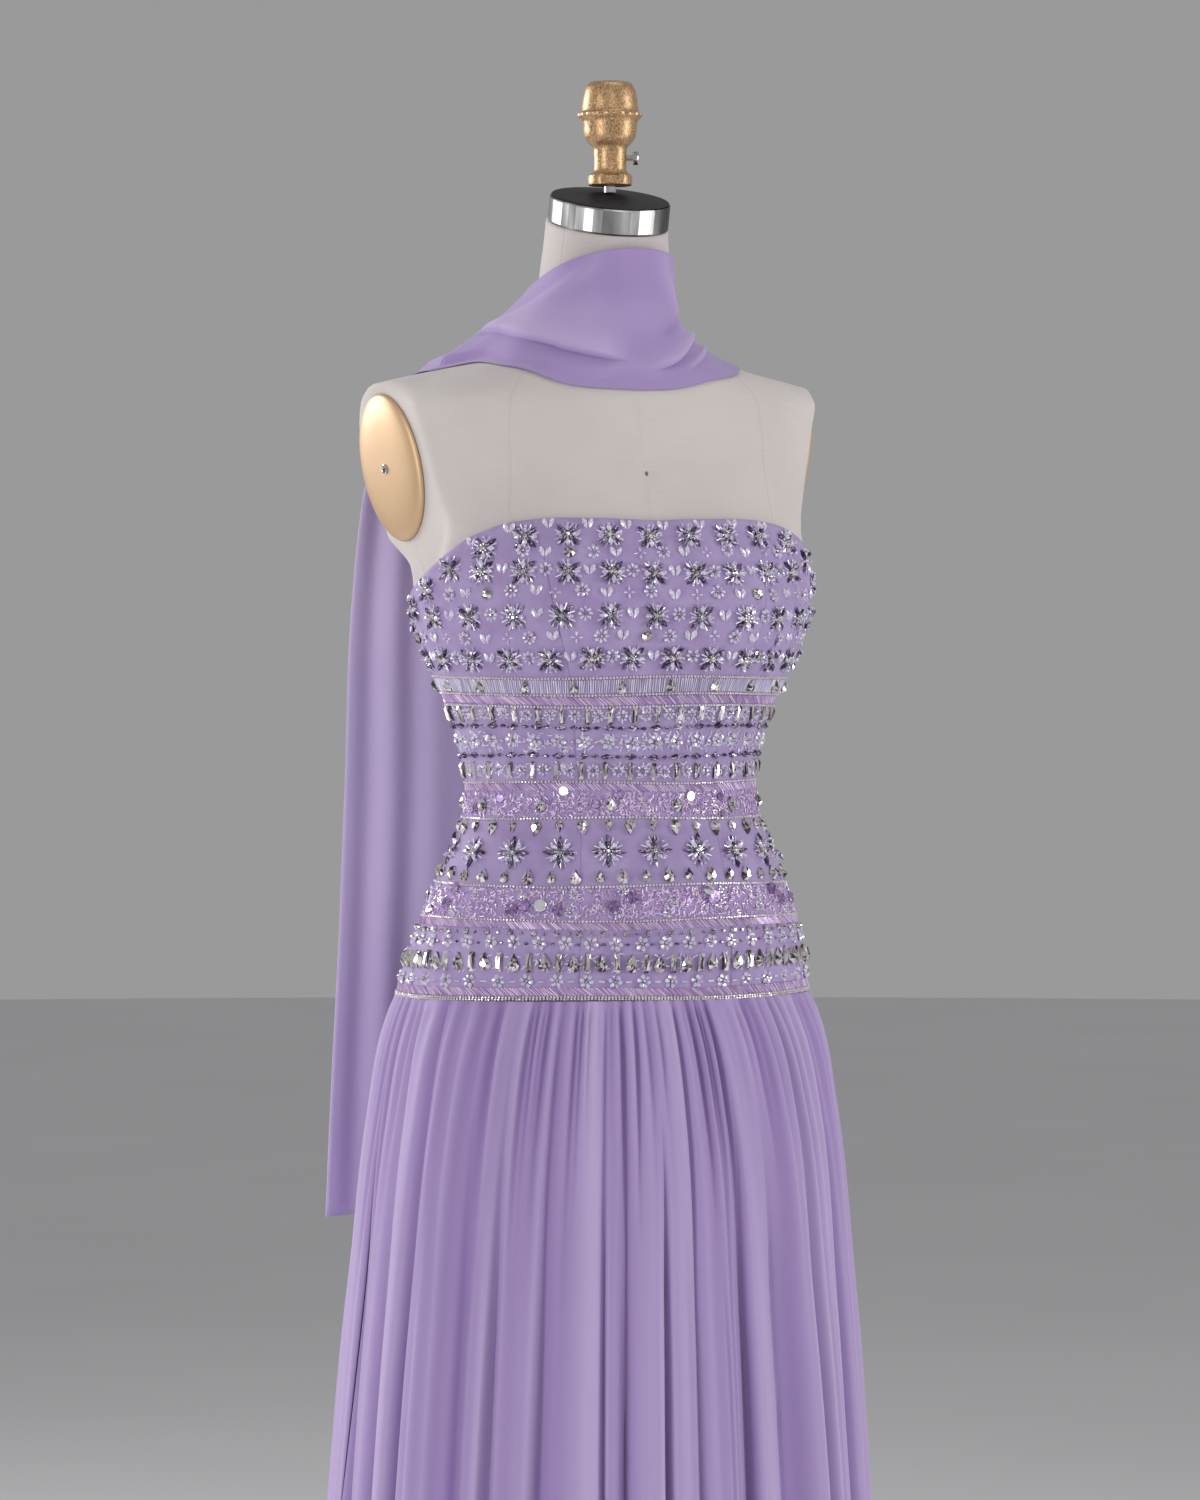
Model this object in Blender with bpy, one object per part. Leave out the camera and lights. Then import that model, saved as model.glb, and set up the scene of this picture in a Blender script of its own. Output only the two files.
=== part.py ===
"""Strapless drop waist evening dress with its scarf, on a limbless dress form.

Metres, +Z up. The dress faces -Y and the wearer's right side is -X.
"""

import math

import bmesh
import bpy
import numpy as np

# Driving dimensions
FLOOR_TO_SEAM = 0.868
FORM_BOTTOM = 0.795
NECK_TOP = 1.4812
NECK_TOP_Y = 0.0047
NECK_TILT = math.radians(15.0)
NECK_TILT_FROM = 1.42
SEAM_GAP = 0.0003

BODICE_GAP = 0.0021
BODICE_WALL = 0.0020
BODICE_TOP = 1.244
BODICE_BOTTOM = FLOOR_TO_SEAM
FLOWER_RISE = 0.0030
BAND_RISE = 0.0018

SKIRT_WALL = 0.0014
SKIRT_GIRTH = 1.1
SKIRT_POINTS = 192
GATHERS = 64
FOLDS = 32

SCARF_WALL = 0.0014
SCARF_CLEAR = 0.0024
TAIL_CLEAR = 0.0049

PLATE_CENTRE = (0.1708, 0.035, 1.287)
PLATE_WIDTH = 0.094
PLATE_HEIGHT = 0.119
PLATE_THICK = 0.0075
PLATE_TURN = math.radians(10.0)
PLATE_LEAN = math.radians(11.0)
SEAT_EDGE = 1.10
SEAT_REACH = 1.50
SEAT_WIDER = 0.50
SEAT_DEEP = 0.055

RING_RADIUS = 0.0478
RING_INNER = 0.0440
RING_HEIGHT = 0.0205

POLE_RADIUS = 0.0145
STAND_Y = 0.020

ZIP_Z = 1.146
ZIP_OFF = 0.0009
PIN_RADIUS = 0.0011
PULL_LENGTH = 0.019
PULL_THICK = 0.0010
PULL_WIDTH = 0.0028

# Dress form sections: height, half width, y of the widest point, y front, y back, roundness
FORM = (
    (0.770, 0.1560, 0.012, -0.094, 0.134, 2.10),
    (0.868, 0.1645, 0.012, -0.101, 0.144, 2.10),
    (0.920, 0.1516, 0.000, -0.105, 0.124, 2.10),
    (0.960, 0.1383, -0.003, -0.100, 0.102, 2.05),
    (1.000, 0.1201, -0.004, -0.091, 0.084, 2.05),
    (1.030, 0.1148, -0.002, -0.085, 0.080, 2.05),
    (1.060, 0.1183, 0.001, -0.087, 0.086, 2.05),
    (1.100, 0.1307, -0.001, -0.097, 0.093, 2.05),
    (1.140, 0.1486, -0.002, -0.109, 0.101, 2.10),
    (1.180, 0.1602, -0.001, -0.115, 0.108, 2.10),
    (1.215, 0.1625, 0.004, -0.107, 0.112, 2.15),
    (1.250, 0.1670, 0.015, -0.091, 0.114, 2.20),
    (1.290, 0.1775, 0.030, -0.077, 0.113, 2.30),
    (1.320, 0.1845, 0.042, -0.070, 0.110, 2.40),
    (1.345, 0.1855, 0.047, -0.0635, 0.105, 2.45),
    (1.357, 0.1635, 0.047, -0.0600, 0.098, 2.30),
    (1.3685, 0.1200, 0.045, -0.0565, 0.090, 2.15),
    (1.381, 0.0905, 0.041, -0.0530, 0.082, 2.05),
    (1.392, 0.0725, 0.035, -0.0500, 0.076, 2.00),
    (1.405, 0.0575, 0.027, -0.0470, 0.070, 2.00),
    (1.420, 0.0535, 0.019, -0.0440, 0.066, 2.00),
    (1.440, 0.0525, 0.013, -0.0410, 0.061, 2.00),
    (1.470, 0.0497, 0.008, -0.0410, 0.056, 2.00),
    (1.520, 0.0475, 0.004, -0.0440, 0.052, 2.00),
)
FORM_ROWS = (
    0.795, 0.832, 0.868, 0.900, 0.930, 0.960, 0.985, 1.010, 1.035, 1.060, 1.085, 1.110, 1.135,
    1.160, 1.185, 1.215, 1.250, 1.285, 1.320, 1.340, 1.350, 1.360, 1.371, 1.381, 1.391,
    1.402, 1.414, 1.430, 1.455,
)
FORM_SEGMENTS = 48

# Bust fullness of the general figure: angle, height, angle spread, height spread, rise
BUST = (33.0, 1.163, 17.0, 0.036, 0.010)

# Top edge of the bodice by angle from the centre front: degrees, height
TOP_EDGE = (
    (0, 1.2435), (25, 1.2450), (45, 1.2440), (55, 1.2395), (65, 1.2290), (76, 1.2115),
    (88, 1.1940), (105, 1.1780), (130, 1.1700), (180, 1.1680),
)

# Princess seam by height: height, degrees from the centre front
PRINCESS = (
    (0.868, 30.0), (0.950, 33.5), (1.030, 36.0), (1.146, 37.5), (1.200, 41.5), (1.244, 46.0),
)
SIDE_SEAM = 95.0

# Bead rows of the bodice from the hem up: height, kind of relief
BEAD_ROWS = (
    (0.868, "plain"), (0.884, "band"), (0.900, "pears"), (0.915, "band"), (0.928, "plain"),
    (0.944, "band"), (0.962, "plain"), (0.981, "flowers"), (1.000, "plain"), (1.018, "band"),
    (1.035, "plain"), (1.049, "band"), (1.063, "plain"), (1.073, "band"), (1.087, "plain"),
    (1.102, "pears"), (1.117, "plain"), (1.135, "flowers"), (1.152, "plain"), (1.169, "flowers"),
    (1.188, "plain"), (1.205, "flowers"), (1.220, "plain"), (1.234, "flowers"), (1.244, "plain"),
)
INNER_ROWS = 17
BODICE_FIXED_BELOW = 1.145

# Skirt sections: height, half width, y widest, y front, y back, roundness, gather depth, fold depth
SKIRT = (
    (0.8677, 0.1692, 0.012, -0.1057, 0.1487, 2.10, 0.0012, 0.0000),
    (0.8380, 0.1785, 0.012, -0.1190, 0.1600, 2.08, 0.0024, 0.0008),
    (0.7700, 0.1905, 0.014, -0.1370, 0.1720, 2.05, 0.0026, 0.0030),
    (0.6200, 0.2050, 0.020, -0.1500, 0.1930, 2.00, 0.0018, 0.0062),
    (0.3600, 0.2230, 0.027, -0.1650, 0.2190, 2.00, 0.0012, 0.0092),
    (0.0100, 0.2520, 0.029, -0.1880, 0.2500, 2.00, 0.0008, 0.0125),
)
# Unevenness of the folds: waves round the skirt, size, phase in degrees
FOLD_DEPTH_WAVES = ((5, 0.22, 40.0), (11, 0.18, 250.0), (3, 0.10, 120.0))
FOLD_PLACE_WAVES = ((7, 0.0036, 70.0), (11, 0.0020, 10.0), (2, 0.0040, 200.0))

# Scarf stations from the right shoulder round the throat to the left:
# inner edge x, y, z, outer edge x, y, z, and how closely it hugs the neck
SCARF_FRONT = (
    (-0.0560, 0.034, 1.4310, -0.1400, 0.040, 1.3665, 1.25),
    (-0.0545, 0.000, 1.4400, -0.1130, 0.010, 1.3712, 1.35),
    (-0.0460, -0.024, 1.4490, -0.0985, -0.029, 1.3665, 1.60),
    (-0.0260, -0.040, 1.4565, -0.0640, -0.060, 1.3525, 1.80),
    (0.0000, -0.0465, 1.4600, -0.0180, -0.0668, 1.3480, 1.90),
    (0.0250, -0.040, 1.4590, 0.0282, -0.066, 1.3485, 2.20),
    (0.0430, -0.024, 1.4550, 0.0620, -0.0585, 1.3555, 3.00),
    (0.0525, 0.000, 1.4460, 0.0960, -0.037, 1.3635, 3.60),
    (0.0570, 0.034, 1.4300, 0.1150, 0.040, 1.3675, 3.00),
)
# Scarf tail stations from the shoulder down, for the right side, in the same columns
SCARF_TAIL = (
    (-0.0560, 0.034, 1.4310, -0.1400, 0.040, 1.3665, 1.25),
    (-0.0550, 0.066, 1.4060, -0.1470, 0.070, 1.3580, 1.20),
    (-0.0490, 0.098, 1.3550, -0.1560, 0.100, 1.3200, 1.00),
    (-0.0450, 0.120, 1.2900, -0.1660, 0.122, 1.2700, 1.00),
    (-0.0390, 0.131, 1.1800, -0.1720, 0.140, 1.1600, 1.00),
    (-0.0330, 0.144, 1.0300, -0.1720, 0.154, 1.0300, 1.00),
    (-0.0280, 0.172, 0.9000, -0.1720, 0.170, 0.9000, 1.00),
    (-0.0240, 0.197, 0.7900, -0.1725, 0.186, 0.7900, 1.00),
    (-0.0220, 0.215, 0.6750, -0.1730, 0.200, 0.6750, 1.00),
)
LEFT_SHOULDER_EDGE = 0.1150
# Folds along the scarf: place across from the neck side, width, rise at the throat, rise on the tails
SCARF_FOLDS = (
    (0.20, 0.13, 0.0020, 0.0050),
    (0.55, 0.12, 0.0065, 0.0060),
    (0.85, 0.10, 0.0015, 0.0055),
)

# Cast finial on the neck: radius, height
FINIAL = (
    (0.0000, 1.5126), (0.0172, 1.5126), (0.0178, 1.5150), (0.0178, 1.5205), (0.0136, 1.5232),
    (0.0130, 1.5300), (0.0132, 1.5410), (0.0150, 1.5440), (0.0205, 1.5560), (0.0225, 1.5650),
    (0.0256, 1.5668), (0.0256, 1.5702), (0.0205, 1.5718), (0.0200, 1.5890), (0.0180, 1.5945),
    (0.0000, 1.5962),
)
BASE_PROFILE = (
    (0.0000, 0.0000), (0.1480, 0.0000), (0.1550, 0.0050), (0.1540, 0.0130), (0.1250, 0.0200),
    (0.0400, 0.0260), (0.0280, 0.0320), (0.0240, 0.0480), (0.0150, 0.0480), (0.0150, 0.0200),
    (0.0000, 0.0200),
)


def clear_scene():
    for old in list(bpy.data.objects):
        bpy.data.objects.remove(old, do_unlink=True)


def material(name, colour, roughness, metallic=0.0):
    made = bpy.data.materials.new(name)
    made.use_nodes = True
    shader = made.node_tree.nodes["Principled BSDF"]
    shader.inputs["Base Color"].default_value = (*colour, 1.0)
    shader.inputs["Roughness"].default_value = roughness
    shader.inputs["Metallic"].default_value = metallic
    return made


def solid(name, points, faces, colour, smooth=False):
    """A closed solid from points and faces, turned to face outwards."""
    mesh = bpy.data.meshes.new(name)
    mesh.from_pydata([tuple(float(c) for c in p) for p in points], [], faces)
    work = bmesh.new()
    work.from_mesh(mesh)
    bmesh.ops.recalc_face_normals(work, faces=work.faces)
    if work.calc_volume(signed=True) < 0:
        bmesh.ops.reverse_faces(work, faces=work.faces)
    work.to_mesh(mesh)
    work.free()
    mesh.polygons.foreach_set("use_smooth", [smooth] * len(mesh.polygons))
    mesh.materials.append(colour)
    made = bpy.data.objects.new(name, mesh)
    bpy.context.scene.collection.objects.link(made)
    return made


def at_height(table, z):
    """Row of a table at height z, with smooth change between its rows."""
    rows = np.array(table, dtype=float)
    heights = rows[:, 0]
    slopes = np.gradient(rows[:, 1:], heights, axis=0)
    k = int(np.clip(np.searchsorted(heights, z) - 1, 0, len(heights) - 2))
    span = heights[k + 1] - heights[k]
    t = float(np.clip((z - heights[k]) / span, 0.0, 1.0))
    h00 = 2 * t**3 - 3 * t**2 + 1
    h10 = t**3 - 2 * t**2 + t
    h01 = -2 * t**3 + 3 * t**2
    h11 = t**3 - t**2
    low, high = rows[k, 1:], rows[k + 1, 1:]
    return h00 * low + h10 * span * slopes[k] + h01 * high + h11 * span * slopes[k + 1]


def section_radius(angle, half_width, front, back, roundness):
    depth = front if math.cos(angle) > 0 else back
    across = abs(math.sin(angle) / half_width) ** roundness
    along = abs(math.cos(angle) / depth) ** roundness
    return (across + along) ** (-1.0 / roundness)


def form_radius(angle, z):
    """Distance of the form's surface from its section's centre, and that centre's y."""
    half_width, widest, front, back, roundness = at_height(FORM, z)
    radius = section_radius(angle, half_width, widest - front, back - widest, roundness)
    degrees = math.degrees((angle + math.pi) % (2 * math.pi) - math.pi)
    place, height, spread, tall, rise = BUST
    for side in (-1, 1):
        off = ((degrees - side * place) / spread) ** 2 + ((z - height) / tall) ** 2
        radius += rise * math.exp(-off)
    return radius, widest


def form_point(angle, z, out=0.0):
    radius, widest = form_radius(angle, z)
    radius += out
    return np.array((radius * math.sin(angle), widest - radius * math.cos(angle), z))


def outside_form(point):
    """How far a point lies outside the form, roughly, and the way out."""
    def height_over(p):
        radius, widest = form_radius(math.atan2(p[0], widest_y(p[2]) - p[1]), p[2])
        return math.hypot(p[0], p[1] - widest) - radius

    step = 0.0008
    value = height_over(point)
    slope = np.zeros(3)
    for axis in range(3):
        moved = np.array(point, dtype=float)
        moved[axis] += step
        slope[axis] = (height_over(moved) - value) / step
    size = float(np.linalg.norm(slope))
    return value / size, slope / size


def widest_y(z):
    return at_height(FORM, z)[1]


def push_out(point, clear):
    """Moves a point out of the form until it is clear by the given distance."""
    moved = np.array(point, dtype=float)
    for _ in range(8):
        distance, way = outside_form(moved)
        if distance >= clear:
            break
        moved += way * min(clear - distance, 0.01)
    return moved


def zip_edge(first, second):
    """Triangles between two edges, each a list of (place from 0 to 1, point number)."""
    faces = []
    i = j = 0
    while i < len(first) - 1 or j < len(second) - 1:
        first_next = first[i + 1][0] if i < len(first) - 1 else 9.0
        second_next = second[j + 1][0] if j < len(second) - 1 else 9.0
        if first_next <= second_next:
            faces.append((first[i][1], first[i + 1][1], second[j][1]))
            i += 1
        else:
            faces.append((first[i][1], second[j + 1][1], second[j][1]))
            j += 1
    return faces


def wall(name, outer, outer_rows, inner, inner_rows, colour, smooth=False):
    """A cloth wall between two grids of points that share their number of columns."""
    points = []
    faces = []
    columns = len(outer[0])
    numbers = []
    for grid in (outer, inner):
        start = len(points)
        points.extend(p for row in grid for p in row)
        numbers.append([[start + r * columns + c for c in range(columns)] for r in range(len(grid))])
        for r in range(len(grid) - 1):
            for c in range(columns - 1):
                n = numbers[-1]
                faces.append((n[r][c], n[r][c + 1], n[r + 1][c + 1], n[r + 1][c]))
    out, inn = numbers
    for row_out, row_in in ((out[0], inn[0]), (out[-1], inn[-1])):
        for c in range(columns - 1):
            faces.append((row_out[c], row_out[c + 1], row_in[c + 1], row_in[c]))
    for c in (0, columns - 1):
        first = [(place, out[r][c]) for r, place in enumerate(outer_rows)]
        second = [(place, inn[r][c]) for r, place in enumerate(inner_rows)]
        faces.extend(zip_edge(first, second))
    return solid(name, points, faces, colour, smooth)


def turn_points(profile, segments):
    """Points and faces of a profile of (radius, height) turned about +Z."""
    points = []
    rings = []
    for radius, height in profile:
        if radius == 0.0:
            rings.append([len(points)])
            points.append((0.0, 0.0, height))
            continue
        ring = []
        for k in range(segments):
            angle = 2 * math.pi * k / segments
            ring.append(len(points))
            points.append((radius * math.cos(angle), radius * math.sin(angle), height))
        rings.append(ring)
    faces = []
    pairs = list(zip(rings, rings[1:]))
    if len(rings[0]) > 1:
        pairs.append((rings[-1], rings[0]))
    for low, high in pairs:
        for k in range(segments):
            n = (k + 1) % segments
            if len(low) == 1:
                faces.append((low[0], high[n], high[k]))
            elif len(high) == 1:
                faces.append((low[k], low[n], high[0]))
            else:
                faces.append((low[k], low[n], high[n], high[k]))
    return np.array(points), faces


def aim(points, centre, axis):
    """Turns points so that +Z goes along an axis, then moves them to a centre."""
    axis = np.array(axis, dtype=float)
    axis /= np.linalg.norm(axis)
    side = np.cross((0.0, 1.0, 0.0), axis)
    side /= np.linalg.norm(side)
    up = np.cross(axis, side)
    return points[:, :1] * side + points[:, 1:2] * up + points[:, 2:] * axis + np.array(centre)


def plate_axis(side):
    flat = math.cos(PLATE_LEAN)
    return np.array(
        (side * flat * math.cos(PLATE_TURN), -flat * math.sin(PLATE_TURN), -math.sin(PLATE_LEAN))
    )


def plate_centre(side):
    return np.array((side * PLATE_CENTRE[0], PLATE_CENTRE[1], PLATE_CENTRE[2]))


def smooth_step(value):
    t = min(1.0, max(0.0, value))
    return t * t * (3 - 2 * t)


def flatten_seat(point):
    """Brings a point of the form to the flat oval on which an arm plate sits."""
    side = math.copysign(1.0, point[0])
    axis = plate_axis(side)
    away = point - plate_centre(side)
    beyond = float(away @ axis)
    across = np.cross((0.0, 0.0, 1.0), axis)
    across /= np.linalg.norm(across)
    up = np.cross(axis, across)
    share = math.hypot(away @ up / (PLATE_HEIGHT / 2), away @ across / (PLATE_WIDTH / 2))
    edge = SEAT_EDGE + (SEAT_WIDER if beyond > 0 else 0.0)
    weight = 1.0 - smooth_step((share - edge) / (SEAT_REACH - SEAT_EDGE))
    weight *= smooth_step((beyond + SEAT_DEEP) / 0.03)
    return point - weight * beyond * axis


def build_form(linen):
    """Torso of the form up to the slanted top of its neck, with a flat seat for each arm plate."""
    rows = list(FORM_ROWS) + [NECK_TOP]
    points = []
    for z in rows:
        lift = max(0.0, (z - NECK_TILT_FROM) / (NECK_TOP - NECK_TILT_FROM))
        for k in range(FORM_SEGMENTS):
            angle = 2 * math.pi * k / FORM_SEGMENTS
            p = form_point(angle, z)
            p[2] += lift * math.tan(NECK_TILT) * (p[1] - NECK_TOP_Y)
            points.append(flatten_seat(p))
    faces = []
    count = FORM_SEGMENTS
    for r in range(len(rows) - 1):
        for k in range(count):
            n = (k + 1) % count
            faces.append((r * count + k, r * count + n, (r + 1) * count + n, (r + 1) * count + k))
    for r in (0, len(rows) - 1):
        ring = [r * count + k for k in range(count)]
        middle = len(points)
        points.append(np.mean([points[i] for i in ring], axis=0))
        faces.extend((ring[k], ring[(k + 1) % count], middle) for k in range(count))
    solid("form_torso", points, faces, linen, True)


def build_neck(steel, dark, bronze, chrome):
    axis = (0.0, -math.sin(NECK_TILT), math.cos(NECK_TILT))
    foot = np.array((0.0, NECK_TOP_Y, NECK_TOP)) + SEAM_GAP * 2 * np.array(axis)
    ring = (
        (RING_INNER, 0.0), (RING_RADIUS, 0.0), (RING_RADIUS + 0.0006, 0.0012),
        (RING_RADIUS + 0.0006, RING_HEIGHT - 0.0012), (RING_RADIUS, RING_HEIGHT),
        (RING_INNER, RING_HEIGHT),
    )
    points, faces = turn_points(ring, 40)
    solid("neck_ring", aim(points, foot, axis), faces, steel, True)
    inside = RING_INNER - SEAM_GAP
    cap = (
        (0.0, 0.0), (inside, 0.0), (inside, RING_HEIGHT - 0.0035), (0.0200, RING_HEIGHT - 0.0030),
        (0.0165, RING_HEIGHT - 0.0005), (0.0110, RING_HEIGHT + 0.0030), (0.0, RING_HEIGHT + 0.0040),
    )
    points, faces = turn_points(cap, 32)
    solid("neck_cap", aim(points, foot, axis), faces, dark, True)
    stem_low = 1.5071
    stem = ((0.0, stem_low), (0.0048, stem_low), (0.0048, 1.5123), (0.0, 1.5123))
    points, faces = turn_points(stem, 16)
    solid("finial_stem", points, faces, chrome, True)
    points, faces = turn_points(FINIAL, 24)
    solid("finial", points, faces, bronze, True)
    screw = (
        (0.0, 0.0), (0.0022, 0.0), (0.0022, 0.0048), (0.0054, 0.0050), (0.0056, 0.0088),
        (0.0046, 0.0098), (0.0, 0.0098),
    )
    way = np.array((math.cos(math.radians(-25.0)), math.sin(math.radians(-25.0)), 0.0))
    points, faces = turn_points(screw, 14)
    solid("thumb_screw", aim(points, np.array((0, 0, 1.5345)) + way * 0.0134, way), faces, chrome, True)


def build_plates(gold, chrome):
    for side, word in ((-1, "right"), (1, "left")):
        axis = plate_axis(side)
        profile = (
            (0.0, 0.0), (0.48, 0.0), (0.50, 0.0012), (0.485, 0.0040), (0.40, 0.0062),
            (0.22, 0.0073), (0.0, PLATE_THICK),
        )
        points, faces = turn_points(profile, 28)
        points[:, 0] *= PLATE_HEIGHT
        points[:, 1] *= PLATE_WIDTH
        foot = plate_centre(side) + SEAM_GAP * axis
        solid("arm_plate_" + word, aim(points, foot, axis), faces, gold, True)
        head = ((0.0, 0.0), (0.0040, 0.0), (0.0038, 0.0010), (0.0, 0.0014))
        points, faces = turn_points(head, 12)
        top = foot + axis * (PLATE_THICK + SEAM_GAP)
        solid("plate_screw_" + word, aim(points, top, axis), faces, chrome, True)


def build_stand(steel):
    points, faces = turn_points(BASE_PROFILE, 40)
    points[:, 1] += STAND_Y
    solid("stand_base", points, faces, steel, True)
    low, high = 0.0203, FORM_BOTTOM - SEAM_GAP
    pole = ((0.0, low), (POLE_RADIUS, low), (POLE_RADIUS, high), (0.0, high))
    points, faces = turn_points(pole, 20)
    points[:, 1] += STAND_Y
    solid("stand_pole", points, faces, steel, True)


def top_edge(angle):
    degrees = abs(math.degrees((angle + math.pi) % (2 * math.pi) - math.pi))
    return float(at_height(TOP_EDGE, degrees)[0])


def bead_height(z, angle):
    """Height of a bead row, drawn together towards the top edge where that is lower."""
    if z <= BODICE_FIXED_BELOW:
        return z
    share = (z - BODICE_FIXED_BELOW) / (BODICE_TOP - BODICE_FIXED_BELOW)
    return BODICE_FIXED_BELOW + share * (top_edge(angle) - BODICE_FIXED_BELOW)


def bead_rise(kind, row, column, columns):
    """Height of the beads over the cloth at a grid point, none on the seams."""
    if column in (0, columns - 1) or kind == "plain":
        return 0.0
    if kind == "band":
        return BAND_RISE
    if kind == "pears":
        return FLOWER_RISE if column % 2 else BAND_RISE
    return FLOWER_RISE if (column + row // 2) % 2 else 0.0004


def build_bodice(beaded):
    """Five panels of the hip length bodice, beads raised on the outside over a plain inside."""
    panels = (
        ("bodice_front", lambda z: -princess(z), princess, 13),
        ("bodice_side_right", lambda z: -SIDE_SEAM, lambda z: -princess(z), 8),
        ("bodice_side_left", princess, lambda z: SIDE_SEAM, 8),
        ("bodice_back_right", lambda z: -180.0, lambda z: -SIDE_SEAM, 12),
        ("bodice_back_left", lambda z: SIDE_SEAM, lambda z: 180.0, 12),
    )
    low, high = BODICE_BOTTOM, BODICE_TOP
    inner_heights = np.linspace(low, high, INNER_ROWS)
    for name, start, end, columns in panels:
        outer = []
        for row, (z, kind) in enumerate(BEAD_ROWS):
            line = []
            for column, angle in enumerate(panel_angles(start, end, z, columns)):
                rise = bead_rise(kind, row, column, columns)
                line.append(form_point(angle, bead_height(z, angle), BODICE_GAP + BODICE_WALL + rise))
            outer.append(line)
        inner = []
        for z in inner_heights:
            angles = panel_angles(start, end, z, columns)
            inner.append([form_point(a, bead_height(z, a), BODICE_GAP) for a in angles])
        outer_rows = [(z - low) / (high - low) for z, _ in BEAD_ROWS]
        inner_rows = [(z - low) / (high - low) for z in inner_heights]
        wall(name, outer, outer_rows, inner, inner_rows, beaded)


def princess(z):
    return float(at_height(PRINCESS, z)[0])


def panel_angles(start, end, z, columns):
    half_gap = math.degrees(SEAM_GAP / 2 / form_radius(math.radians(end(z)), z)[0])
    low, high = start(z) + half_gap, end(z) - half_gap
    return [math.radians(low + (high - low) * c / (columns - 1)) for c in range(columns)]


def waves(table, place):
    total = 0.0
    for count, size, phase in table:
        total += size * math.sin(2 * math.pi * count * place + math.radians(phase))
    return total


def skirt_point(place, z, inward=0.0):
    """Point of the skirt at a place round it from 0 to 1, at height z."""
    half_width, widest, front, back, roundness, gather, fold = at_height(SKIRT[::-1], z)

    def outline(at):
        angle = 2 * math.pi * (at + waves(FOLD_PLACE_WAVES, at))
        radius = section_radius(angle, half_width, widest - front, back - widest, roundness)
        depth = 1.0 + waves(FOLD_DEPTH_WAVES, at)
        radius -= gather * math.cos(2 * math.pi * GATHERS * at)
        radius -= fold * depth * math.cos(2 * math.pi * FOLDS * at)
        return np.array((radius * math.sin(angle), widest - radius * math.cos(angle)))

    here = outline(place)
    along = outline(place + 0.0008) - outline(place - 0.0008)
    normal = np.array((along[1], -along[0])) / np.hypot(*along)
    if np.dot(normal, here - np.array((0.0, widest))) < 0:
        normal = -normal
    return np.array((*(here - inward * normal), z))


def build_skirt(chiffon):
    """Front and back of the gathered skirt, seamed at the sides."""
    heights = [row[0] for row in SKIRT]
    half = SKIRT_POINTS // 2
    places_rows = [k / (len(heights) - 1) for k in range(len(heights))]
    for name, start in (("skirt_front", -0.25), ("skirt_back", 0.25)):
        places = [start + k / SKIRT_POINTS for k in range(half + 1)]
        places[0] += SEAM_GAP / 2 / SKIRT_GIRTH
        places[-1] -= SEAM_GAP / 2 / SKIRT_GIRTH
        outer = [[skirt_point(p, z) for p in places] for z in heights]
        inner = [[skirt_point(p, z, SKIRT_WALL) for p in places] for z in heights]
        wall(name, outer, places_rows, inner, places_rows, chiffon, True)


def station(table, place):
    """Edge points of the scarf at a place along a table of stations, from 0 to 1."""
    numbered = tuple((k / (len(table) - 1), *row) for k, row in enumerate(table))
    row = at_height(numbered, place)
    return np.array(row[:3]), np.array(row[3:6]), float(row[6])


def behind_dress(x, z):
    """Farthest back y of the dress at a place across its back."""
    half_width, widest, _, back = at_height(SKIRT[::-1], z)[:4]
    if z > FLOOR_TO_SEAM:
        half_width, widest, _, back, _ = at_height(FORM, z)
        half_width += 0.0065
        back += 0.0065
    else:
        half_width += 0.013
        back += 0.013
    share = min(0.98, abs(x) / half_width)
    return widest + (back - widest) * math.sqrt(1 - share**2)


def scarf_grid(table, side, stations, across, thick, tail):
    """Grid of scarf points and the same grid moved out by the wall's thickness."""
    low = []
    for s in stations:
        inner, outer, hug = station(table, s)
        line = []
        for t in across:
            share = np.array((t**hug, t**hug, t))
            p = inner + (outer - inner) * share
            line.append(p * np.array((side, 1.0, 1.0)))
        low.append(line)
    low = np.array(low)
    lift = fold_lift(stations, across, tail)
    low = low + surface_normals(low) * lift[:, :, None]
    for r in range(low.shape[0]):
        for c in range(low.shape[1]):
            extra = min(1.0, stations[r] * 14.0) if tail else 0.0
            p = push_out(low[r, c], SCARF_CLEAR + (TAIL_CLEAR - SCARF_CLEAR) * extra)
            if tail and p[2] < 1.30:
                p[1] = max(p[1], behind_dress(p[0], p[2]) + SCARF_CLEAR)
            low[r, c] = p
    high = low + surface_normals(low) * thick
    return low, high


def fold_lift(stations, across, tail):
    lift = np.zeros((len(stations), len(across)))
    for r, s in enumerate(stations):
        share = min(1.0, s * 3.0) if tail else 0.0
        for c, t in enumerate(across):
            for place, width, front, back in SCARF_FOLDS:
                size = front * math.sin(math.pi * s) + 0.0008
                if tail:
                    size = 0.0008 + (back - 0.0008) * share
                lift[r, c] += size * math.exp(-(((t - place) / width) ** 2))
    return lift


def surface_normals(grid):
    """Normals of a grid of scarf points that face away from the body."""
    along = np.gradient(grid, axis=0)
    over = np.gradient(grid, axis=1)
    normals = np.cross(along, over)
    normals /= np.linalg.norm(normals, axis=2, keepdims=True)
    away = grid - np.array((0.0, 0.02, 1.30))
    away[:, :, 2] = np.where(grid[:, :, 2] > 1.34, away[:, :, 2] + 0.02, 0.0)
    if float(np.sum(normals * away)) < 0:
        normals = -normals
    return normals


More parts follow.
